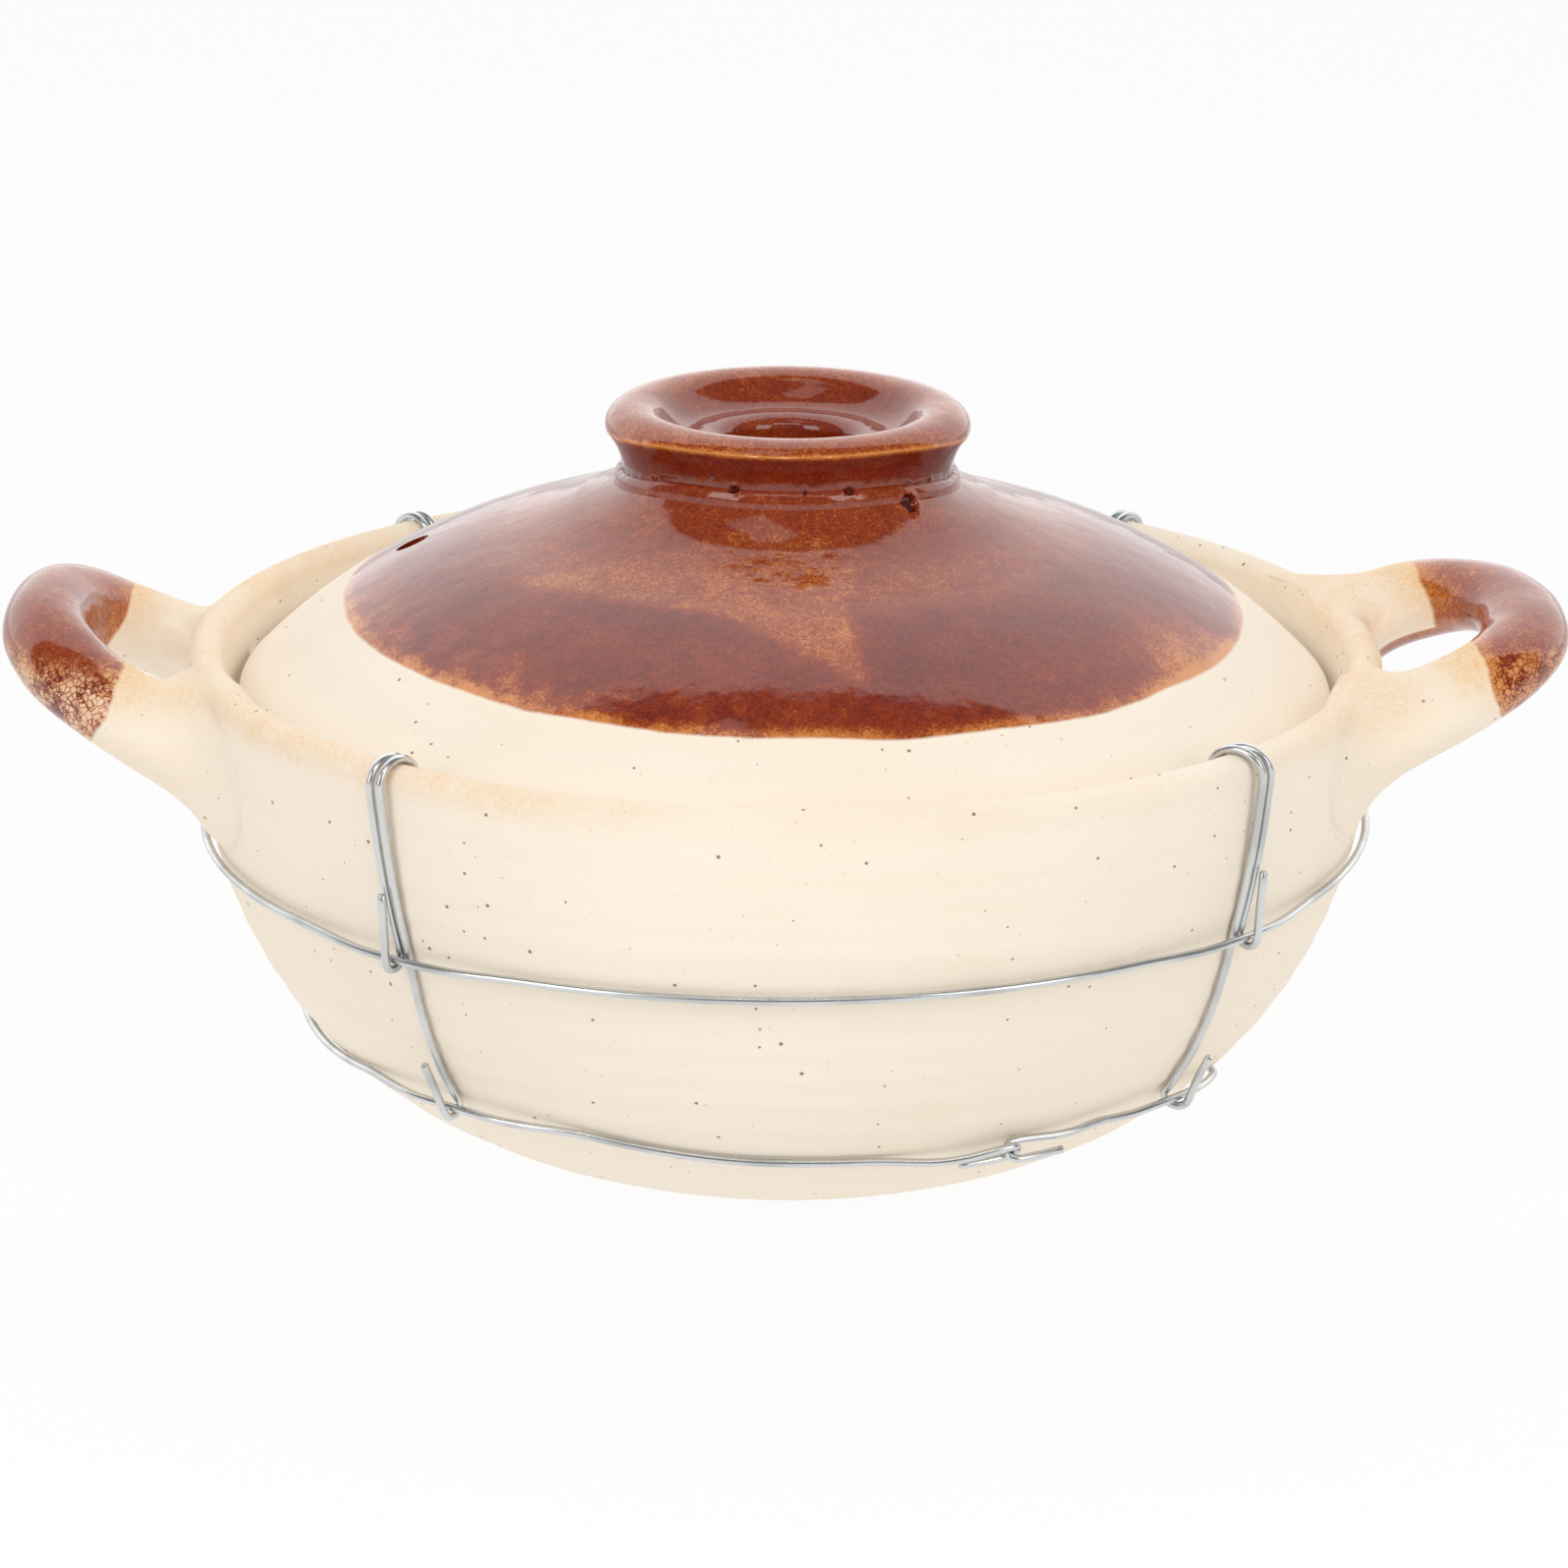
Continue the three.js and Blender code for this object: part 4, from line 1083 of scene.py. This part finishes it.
def glaze_coat(nodes, place, thin, finish):
    """Glossy iron glaze: deep red-brown, breaking to orange specks where it is thin.

    thin is 0 for the plain glaze, more where it is thinner and less where it is thicker.
    """
    clouds = nodes.noise(place, 28, 4, 0.6)
    stain = nodes.noise(place, 120, 4, 0.6)
    flecks = nodes.noise(place, 620, 3, 0.75)
    grain = nodes.noise(place, 1900, 2, 0.6)
    tone = 0.5 + (clouds - 0.5) * 0.5 + (stain - 0.5) * 0.4 + (flecks - 0.5) * 0.6 + (grain - 0.5) * 0.9
    stops = [
        (0.0, finish.glaze_deep), (0.36, finish.glaze), (0.62, finish.glaze_warm), (1.0, finish.glaze_thin)]
    base = nodes.add("ShaderNodeValToRGB", {"stops": stops}, {"Fac": tone + thin})
    ripple = nodes.noise(place, 90, 2)
    peel = nodes.noise(place, 420, 2)
    pits = specks(nodes, place, 4 * MM, 0.06 * MM, 0.26 * MM)
    height = ripple + peel * 0.12 - pits * 0.5
    return nodes.add("ShaderNodeBsdfPrincipled", None, {
        "Base Color": base,
        "Roughness": 0.07 + stain.eased(0.4, 0.8) * 0.07 + pits * 0.2,
        "IOR": 1.62,
        "Normal": nodes.bump(height, 0.25 * MM),
    })


def facing(x, y, degrees, radius, low):
    """1 on the side that faces an azimuth, fading to 0 round the pot."""
    turn = math.radians(degrees)
    return (x * (math.cos(turn) / radius) + y * (math.sin(turn) / radius)).eased(low, 1.0)


def distance_from(x, y, spot_x, spot_y):
    """Distance from an upright line."""
    across, along = x - spot_x, y - spot_y
    return (across * across + along * along) ** 0.5


def rim_blush_and_flank_shade(nodes, place, bowl):
    """Bloom of the fire along the rim, and a faint warm painted shade down both flanks."""
    x, y, z = nodes.measures(place)
    patch = nodes.noise(place, 11, 2).eased(0.35, 0.65)
    crest = z.eased(bowl.height - 10 * MM, bowl.height - 0.5 * MM)
    sides = facing(x, y, 230, bowl.radius, 0.7) * 0.8 + facing(x, y, 0, bowl.radius, 0.45) * 0.55
    sides = (sides + facing(x, y, 140, bowl.radius, 0.6) * 0.7).least(1.0)
    front = y.least(0)
    # Painted shade: a faint warm tint that grows towards both flanks, less in front.
    flank_start, flank_end = (86.6 * MM) ** 2, (120.4 * MM) ** 2
    painted_flank_shade = (x * x + front * front * 0.25).eased(flank_start, flank_end) * 0.2
    near = x.most(x * -1).eased(bowl.radius + 12 * MM, bowl.radius - 4 * MM)
    return crest * near * (sides * 0.6).most(0.1 + patch * 0.15) + painted_flank_shade


def bare_clay(finish, bowl):
    """Clay of the bowl, toasted along its rim, with a faint warm painted shade down its flanks."""
    material, nodes = new_material("bare_clay")
    place = nodes.place()
    nodes.surface(clay_body(nodes, place, rim_blush_and_flank_shade(nodes, place, bowl), finish))
    return material


def lid_underside(finish):
    """Clay under the lid, which was wiped clean of glaze."""
    material, nodes = new_material("lid_underside")
    place = nodes.place()
    patch = nodes.noise(place, 15, 2)
    nodes.surface(clay_body(nodes, place, patch.eased(0.5, 0.8) * 0.4, finish))
    return material


def inside_glaze(finish):
    """Glaze inside the bowl."""
    material, nodes = new_material("inside_glaze")
    place = nodes.place()
    nodes.surface(glaze_coat(nodes, place, 0.05, finish))
    return material


def dipped_handle(finish, bowl, name, across, start, tilt, back_lean, crawl_top, crawled, strip=None):
    """Clay of a handle whose tip was dipped in glaze, which crawled on its low side in front.

    The glaze begins at start, a reach along X and a height, on a line with a tilt and with a lean to the
    back. crawled is the share of the clay that is bare below crawl_top. strip is the height up to which a
    strip of glaze runs in under the arm at the back.
    """
    material, nodes = new_material(name)
    place = nodes.place()
    x, y, z = nodes.measures(place)
    wander = nodes.noise(place, 70, 3) - 0.5
    reach = x * across
    line = start[0] + tilt * start[1]
    depth = reach + z * tilt - y * back_lean - line + wander * (5 * MM)
    if strip is not None:
        strip_reach, strip_slope, strip_front, strip_end = 126 * MM, 0.53, 15 * MM, 122 * MM
        below = strip + (reach - strip_reach) * strip_slope - z
        below = below.least(y - strip_front).least(reach - strip_end)
        depth = depth.most(below * 4 + wander * (6 * MM))
    blush_and_shade = depth.eased(-24 * MM, 0) * z.eased(crawl_top - 16 * MM, crawl_top, 0.15, 0.85)
    # The handle also takes the painted warm shade of the bowl's flanks.
    clay = clay_body(nodes, place, blush_and_shade.most(rim_blush_and_flank_shade(nodes, place, bowl)), finish)
    low = (z + wander * (8 * MM)).eased(crawl_top, crawl_top - 6 * MM) * y.eased(2 * MM, -10 * MM)
    cell = nodes.add("ShaderNodeTexVoronoi", {"feature": "DISTANCE_TO_EDGE"}, {"Vector": place, "Scale": 780})
    cracks = 1 - cell.eased(0.02, 0.12)
    mottle = nodes.noise(place, 240, 4, 0.7).eased(0.38, 0.56)
    thin = 0.28 - depth.eased(0, 6 * MM) * 0.2 + low * (mottle * 0.5 - cracks * 0.55)
    bare = low * mottle * (1 - cracks) * crawled
    coat = glaze_coat(nodes, place, thin, finish)
    nodes.coated_surface(depth.eased(-0.5 * MM, 0.5 * MM) * (1 - bare), clay, coat)
    return material


def dipped_lid(finish, line):
    """Glaze of the lid above a slightly tilted line, with a cream band left bare at the edge.

    It is thin round the knob, on a tongue in front of the knob, on a patch at the right and along its line.
    """
    fall_x, fall_y = -0.0115, 0.0188
    tongue_x, tongue_y, tongue_turn, tongue_right = 4 * MM, -75 * MM, math.radians(59.54), 16 * MM
    patch_x, patch_y = 86 * MM, -44 * MM
    material, nodes = new_material("dipped_lid")
    place = nodes.place()
    x, y, z = nodes.measures(place)
    wander = nodes.noise(place, 40, 3) - 0.5
    shift = wander * (18 * MM)
    depth = z - line - x * fall_x - y * fall_y + wander * (1.6 * MM)
    warm = (distance_from(x, y, 0, 0) + shift).eased(68 * MM, 50 * MM) * 0.24
    shore = (x - tongue_x) * math.cos(tongue_turn) + (y - tongue_y) * math.sin(tongue_turn)
    shore = shore.least(tongue_right - x) + shift * 0.5
    tongue = shore.eased(-1 * MM, 4 * MM) * y.eased(-30 * MM, -40 * MM) * 0.34
    patch = (distance_from(x, y, patch_x, patch_y) + shift).eased(22 * MM, 8 * MM) * 0.34
    mottle = nodes.noise(place, 150, 3, 0.6).eased(0.4, 0.62)
    low = depth.eased(9 * MM, 1 * MM) * mottle * (x * 0.8 + y * 0.6).eased(-40 * MM, -80 * MM, 0.12, 0.3)
    edge = 0.42 - depth.eased(0, 2.2 * MM) * 0.42
    # The knob's thin attribute also holds the painted shade of its neck under the lip.
    made_thin_and_shade = nodes.add("ShaderNodeAttribute", {"attribute_name": "thin"}, output="Fac")
    thin = edge + warm.most(tongue) - 0.14 + patch + low + made_thin_and_shade
    clay = clay_body(nodes, place, depth.eased(-5 * MM, 0) * 0.12, finish)
    coat = glaze_coat(nodes, place, thin, finish)
    nodes.coated_surface(depth.eased(-0.25 * MM, 0.25 * MM), clay, coat)
    return material


def galvanised_wire(finish):
    """Drawn steel wire with a dulled coat of zinc."""
    material, nodes = new_material("galvanised_wire")
    place = nodes.place()
    bloom = nodes.noise(place, 70, 2)
    fine = nodes.noise(place, 1500, 2)
    base = nodes.tint(bloom.eased(0.4, 0.7) * 0.6, finish.zinc, finish.zinc_dull)
    nodes.surface(nodes.add("ShaderNodeBsdfPrincipled", None, {
        "Base Color": base,
        "Metallic": 1.0,
        "Roughness": 0.24 + bloom.eased(0.35, 0.75) * 0.1,
        "Normal": nodes.bump(fine, 0.006 * MM),
    }))
    return material


class CASSEROLE_OT_bowl(bpy.types.Operator):
    """Turn the bowl and lute its two handles on"""

    bl_idname = "casserole.bowl"
    bl_label = "Bowl and handles"

    def execute(self, context):
        sizes = context.scene.casserole_bowl
        finish = context.scene.casserole_finish
        side = BowlSide(sizes)
        self.turn_bowl(sizes, side, finish)
        self.lute_handles(context.scene.casserole_handle, sizes, side, finish)
        return {"FINISHED"}

    @staticmethod
    def turn_bowl(sizes, side, finish):
        around = 256
        section, wall, inside = bowl_section(sizes, side)
        azimuths = full_turn(around)
        heights = section[:, 1:]
        pitch, wander, swell = 6.5 * MM, 12 * MM, 30 * MM
        fade = band(heights, (4 * MM, 16 * MM), (92 * MM, 101 * MM))
        rings = np.sin(2 * math.pi * heights / pitch + azimuths + waves(heights / wander, azimuths, 3))
        push = np.zeros((len(section), around))
        push[wall] = (sizes.rings * fade * (rings + waves(heights / swell, azimuths, 7)))[wall]
        bowl = new_piece("bowl", *turned(section, around, push), "pot", "bare_clay", "pot_bowl")
        bowl.data.materials.append(bare_clay(finish, sizes))
        bowl.data.materials.append(inside_glaze(finish))
        rows = (len(section) - 2) * around
        for polygon in bowl.data.polygons:
            corner = polygon.vertices[0]
            polygon.material_index = int(corner // around + 1 >= inside and corner < rows)

    @staticmethod
    def lute_handles(sizes, bowl, side, finish):
        right = HandleLoop(
            bowl, sizes, azimuth=0, tip_rise=sizes.right_tip_rise, tip_swell=sizes.right_tip_swell,
            drops=(sizes.right_front_drop, sizes.right_back_drop), bulges=(0, sizes.right_back_bulge),
            squareness=(sizes.squareness, sizes.right_back_squareness), seed=1)
        left = HandleLoop(
            bowl, sizes, azimuth=math.pi, tip_rise=sizes.left_tip_rise, tip_swell=sizes.left_tip_swell,
            drops=(sizes.left_back_drop, sizes.left_front_drop), bulges=(sizes.left_back_bulge, 0),
            squareness=(sizes.squareness, sizes.squareness), seed=2)
        right_finish = dipped_handle(
            finish, bowl, "dipped_right_handle", 1, start=(134 * MM, 108 * MM), tilt=0.35, back_lean=-0.1,
            crawl_top=113 * MM, crawled=0.1, strip=bowl.height - 7.6 * MM)
        left_finish = dipped_handle(
            finish, bowl, "dipped_left_handle", -1, start=(133.5 * MM, 104 * MM), tilt=0.45, back_lean=0.075,
            crawl_top=108 * MM, crawled=0.55)
        for name, loop, material in (("right", right, right_finish), ("left", left, left_finish)):
            rings, outwards = loop.rings(steps=180, around=56)
            rows, around = rings.shape[:2]
            points, distances, directions = fillet_roots(rings, outwards, side, bowl, sizes.fillet)
            faces = capped_faces(rows, around)
            handle = new_piece(f"handle_{name}_coil", points, faces, "pot", "dipped_clay", f"handle_{name}")
            handle.data.materials.append(material)
            normals = np.array([vertex.normal for vertex in handle.data.vertices])
            in_clay, clear = 0.1 * MM, 2 * MM
            melt = 1 - smoothstep(distances, in_clay, clear)
            normals = normalised(normals + (directions - normals) * melt[:, None])
            handle.data.normals_split_custom_set_from_vertices(normals.tolist())


class CASSEROLE_OT_lid(bpy.types.Operator):
    """Turn the lid, cut its steam vent and set the ring knob on it"""

    bl_idname = "casserole.lid"
    bl_label = "Lid and knob"

    def execute(self, context):
        sizes = context.scene.casserole_lid
        finish = context.scene.casserole_finish
        curves = LidSection(sizes)
        glazed = dipped_lid(finish, sizes.glaze_line)
        lid = self.turn_lid(curves, glazed, lid_underside(finish))
        self.drill_vent(lid, sizes)
        self.turn_knob(sizes, curves, glazed)
        return {"FINISHED"}

    @staticmethod
    def turn_knob(sizes, curves, glazed):
        around = 360
        azimuths = full_turn(around)
        front_start, front_end = 0.1, 0.95
        fronts = smoothstep(-np.sin(azimuths), front_start, front_end)
        made = [curves.knob(front) for front in fronts]
        sections = np.array([section for section, _ in made])
        sole, skirt, _, seam, edge = made[0][1][:5]
        lengths = np.linalg.norm(np.diff(sections, axis=1), axis=2)
        ways = np.concatenate([np.zeros((around, 1)), np.cumsum(lengths, axis=1)], axis=1)
        from_seam = (ways - ways[:, seam:seam + 1]).T
        from_edge = (ways - ways[:, edge:edge + 1]).T
        rings = polar(azimuths[:, None], sections[..., 0], sections[..., 1]).transpose(1, 0, 2)
        along = np.gradient(rings, axis=0)
        across = np.roll(rings, -1, axis=1) - np.roll(rings, 1, axis=1)
        square = normalised(np.cross(across, along))
        moves, scars = seam_marks(sizes.knob_radius, azimuths, from_seam, from_edge)
        moves[:sole + 1] = 0
        rings = rings + square * moves[..., None]
        faces = skin_faces(len(rings), around)
        last = (len(rings) - 1) * around
        faces += [(last + j, last + (j + 1) % around, (j + 1) % around, j) for j in range(around)]
        knob = new_piece("knob_ring", rings, faces, "lid", "brown_glaze", "lid_knob_ring")
        knob.data.set_sharp_from_angle(angle=math.radians(32))
        knob.data.materials.append(glazed)
        # The thin attribute also holds the painted shade of the neck under the lip.
        thin = knob_thinness_and_neck_shade(from_seam, from_edge, scars, skirt)
        knob.data.attributes.new("thin", "FLOAT", "POINT").data.foreach_set("value", thin.ravel())

    @staticmethod
    def turn_lid(curves, glazed, clay):
        section, outside = curves.shell()
        around = 256
        push = np.zeros((len(section), around))
        radii = section[:, :1]
        unevenness, swell = 0.12 * MM, 18 * MM
        fade = smoothstep(radii, 64 * MM, 80 * MM)
        push[outside:] = (unevenness * fade * waves(radii / swell, full_turn(around), 5))[outside:]
        lid = new_piece("lid_shell", *turned(section, around, push), "lid", "brown_glaze", "lid_dome")
        lid.data.materials.append(glazed)
        lid.data.materials.append(clay)
        middle = (len(section) - 2) * around
        for polygon in lid.data.polygons:
            corner = polygon.vertices[0]
            polygon.material_index = int(corner == middle or corner // around + 1 < outside)
        return lid

    @staticmethod
    def drill_vent(lid, sizes):
        below, above = 80 * MM, 160 * MM
        place = polar(sizes.vent_azimuth, sizes.radius - sizes.vent_inset, 0)
        turns = full_turn(40)
        ends = [place + polar(turns, sizes.vent_diameter / 2, height) for height in (below, above)]
        drill = new_object("vent_drill", ends, capped_faces(2, len(turns)))
        cut = lid.modifiers.new("vent", "BOOLEAN")
        cut.operation = "DIFFERENCE"
        cut.object = drill
        bpy.context.view_layer.update()
        drilled = bpy.data.meshes.new_from_object(lid.evaluated_get(bpy.context.evaluated_depsgraph_get()))
        lid.modifiers.clear()
        lid.data = drilled
        drilled.shade_smooth()
        drilled.set_sharp_from_angle(angle=math.radians(50))
        bpy.data.objects.remove(drill)


class CASSEROLE_OT_cage(bpy.types.Operator):
    """Bend the two hoops and the four hangers of the wire cage"""

    bl_idname = "casserole.cage"
    bl_label = "Wire cage"

    def execute(self, context):
        scene = context.scene
        wire, bowl, handle = scene.casserole_wire, scene.casserole_bowl, scene.casserole_handle
        cage = WireCage(BowlSide(bowl), wire)
        hangers = [
            Hanger("front_left", rim=231.6, inside=231.6, waist=232.7, foot=232.6, side=-1, spread=0.6),
            Hanger("front_right", rim=317.9, inside=316, waist=317.4, foot=318, side=1, spread=3.4),
            Hanger("back_right", rim=51.5, inside=51.5, waist=50.8, foot=50, side=-1, spread=0.8),
            Hanger("back_left", rim=133, inside=133, waist=133.6, foot=134, side=1, spread=0.8),
        ]
        lowest_drop = max(
            handle.right_front_drop, handle.right_back_drop, handle.left_front_drop, handle.left_back_drop)
        lowest_root = bowl.height - lowest_drop - handle.depth / 2 - handle.root_smear
        upper = Hoop(
            cage, lowest_root - wire.hoop_below_roots, drop=wire.upper_drop, lift=0, sag=0,
            slack=wire.upper_slack, joint=wire.upper_joint, strands=[hanger.waist for hanger in hangers])
        lower = Hoop(
            cage, wire.lower_height, drop=wire.lower_drop, lift=wire.lower_lift, sag=wire.lower_sag,
            slack=0, joint=wire.lower_joint, strands=[hanger.foot for hanger in hangers])
        material = galvanised_wire(scene.casserole_finish)
        ways = {"upper_hoop": upper.path(), "lower_hoop": lower.path()}
        for hanger in hangers:
            ways[f"hanger_{hanger.name}"] = hanger.path(upper, lower, bowl)
        for name, way in ways.items():
            points, faces = wire_skin(bent_smooth(way, steps=3), wire.diameter / 2, around=14)
            piece = new_piece(f"{name}_wire", points, faces, "pot", "galvanised_wire", name)
            piece.data.set_sharp_from_angle(angle=math.radians(60))
            piece.data.materials.append(material)
        return {"FINISHED"}


class CASSEROLE_OT_studio(bpy.types.Operator):
    """Set up the table, the soft lights, the white room and the camera"""

    bl_idname = "casserole.studio"
    bl_label = "Studio"

    def execute(self, context):
        settings = context.scene.casserole_studio
        context.scene.view_settings.view_transform = "Standard"
        self.set_table(settings)
        self.set_room(context.scene, settings)
        self.set_lights(settings)
        self.set_camera(context.scene, settings)
        return {"FINISHED"}

    @staticmethod
    def set_table(settings):
        half = 4.0
        corners = [(-half, -half, 0), (half, -half, 0), (half, half, 0), (-half, half, 0)]
        table = new_object("table", corners, [(0, 1, 2, 3)])
        material, nodes = new_material("pale_table")
        paper = nodes.add("ShaderNodeBsdfDiffuse", None, {"Color": (*settings.floor, 1)})
        white = nodes.add("ShaderNodeEmission", None, {"Color": (1, 1, 1, 1), "Strength": 1.0})
        ray = nodes.add("ShaderNodeLightPath", output="Is Camera Ray")
        glow = ray * (settings.seen_glow - settings.glow) + settings.glow
        nodes.coated_surface(glow, paper, white)
        table.data.materials.append(material)

    @staticmethod
    def set_room(scene, settings):
        """White behind the pot, as its reflections show, and a dim room in front of it."""
        world = bpy.data.worlds.new("white_room")
        world.use_nodes = True
        nodes = Nodes(world.node_tree)
        direction = nodes.add("ShaderNodeTexCoord", output="Generated")
        back = nodes.add("ShaderNodeSeparateXYZ", None, {"Vector": direction}, "Y")
        ray = nodes.add("ShaderNodeLightPath", output="Is Camera Ray")
        white = settings.horizon - back.other("Z").most(0) * (settings.horizon - settings.zenith)
        wall_edge = (0.24, 0.31)
        glow = (settings.room + back.eased(*wall_edge) * (white - settings.room)).most(ray)
        background = nodes.add("ShaderNodeBackground", None, {"Color": (1, 1, 1, 1), "Strength": glow})
        nodes.add("ShaderNodeOutputWorld", None, {"Surface": background})
        scene.world = world

    @staticmethod
    def set_lights(settings):
        def panel(name, width, depth, place, target, radiance):
            """A soft box that shines from a place on a target, and that the camera doesn't see."""
            lamp = bpy.data.lights.new(name, "AREA")
            lamp.shape = "RECTANGLE"
            lamp.size, lamp.size_y = width, depth
            lamp.energy = radiance * math.pi * width * depth
            obj = bpy.data.objects.new(name, lamp)
            aim = (Vector(place) - Vector(target)).to_track_quat("Z", "Y")
            obj.matrix_world = Matrix.Translation(place) @ aim.to_matrix().to_4x4()
            obj.visible_camera = False
            bpy.context.scene.collection.objects.link(obj)
            return obj

        for name, across in (("left_box", -0.95), ("right_box", 0.95)):
            panel(name, 0.6, 1.0, (across, -1.05, 0.7), (0, 0, 0.06), settings.side_boxes)
        panel("overhead_box", 0.36, 0.5, (-0.2, -0.2, 1.35), (0, 0, 0.1), settings.overhead)
        panel("front_strip", 0.95, 0.18, (0, -0.85, 1.25), (0, 0, 0.1), settings.front_strip)
        fill = panel("front_fill", 2.4, 1.4, (0, -1.1, 1.5), (0, 0, 0), settings.fill)
        fill.visible_glossy = False

    @staticmethod
    def set_camera(scene, settings):
        data = bpy.data.cameras.new("camera")
        data.lens = settings.lens
        camera = bpy.data.objects.new("camera", data)
        back = settings.distance * math.cos(settings.elevation)
        place = (0, -back, settings.target + settings.distance * math.sin(settings.elevation))
        tilt = Matrix.Rotation(math.pi / 2 - settings.elevation, 4, "X")
        camera.matrix_world = Matrix.Translation(place) @ tilt @ Matrix.Rotation(settings.roll, 4, "Z")
        scene.collection.objects.link(camera)
        scene.camera = camera


class CASSEROLE_PT_panel(bpy.types.Panel):
    """Sizes, colours and steps of the casserole"""

    bl_idname = "CASSEROLE_PT_panel"
    bl_label = "Clay casserole"
    bl_space_type = "VIEW_3D"
    bl_region_type = "UI"
    bl_category = "Casserole"

    def draw(self, context):
        for operator in OPERATORS:
            self.layout.operator(operator.bl_idname)
        for name, group in GROUPS.items():
            box = self.layout.box()
            box.label(text=group.__doc__)
            for key in group.__annotations__:
                box.prop(getattr(context.scene, name), key)


GROUPS = {
    "casserole_bowl": BowlSizes,
    "casserole_handle": HandleSizes,
    "casserole_lid": LidSizes,
    "casserole_wire": WireSizes,
    "casserole_finish": Finishes,
    "casserole_studio": StudioSettings,
}
OPERATORS = (CASSEROLE_OT_bowl, CASSEROLE_OT_lid, CASSEROLE_OT_cage, CASSEROLE_OT_studio)
CLASSES = (*GROUPS.values(), *OPERATORS, CASSEROLE_PT_panel)


def register():
    for cls in CLASSES:
        bpy.utils.register_class(cls)
    for name, group in GROUPS.items():
        setattr(bpy.types.Scene, name, PointerProperty(type=group))


def unregister():
    for name in GROUPS:
        delattr(bpy.types.Scene, name)
    for cls in reversed(CLASSES):
        bpy.utils.unregister_class(cls)


def main():
    register()
    bpy.ops.casserole.bowl()
    bpy.ops.casserole.lid()
    bpy.ops.casserole.cage()
    bpy.ops.casserole.studio()
    bpy.context.view_layer.update()


if __name__ == "__main__":
    main()
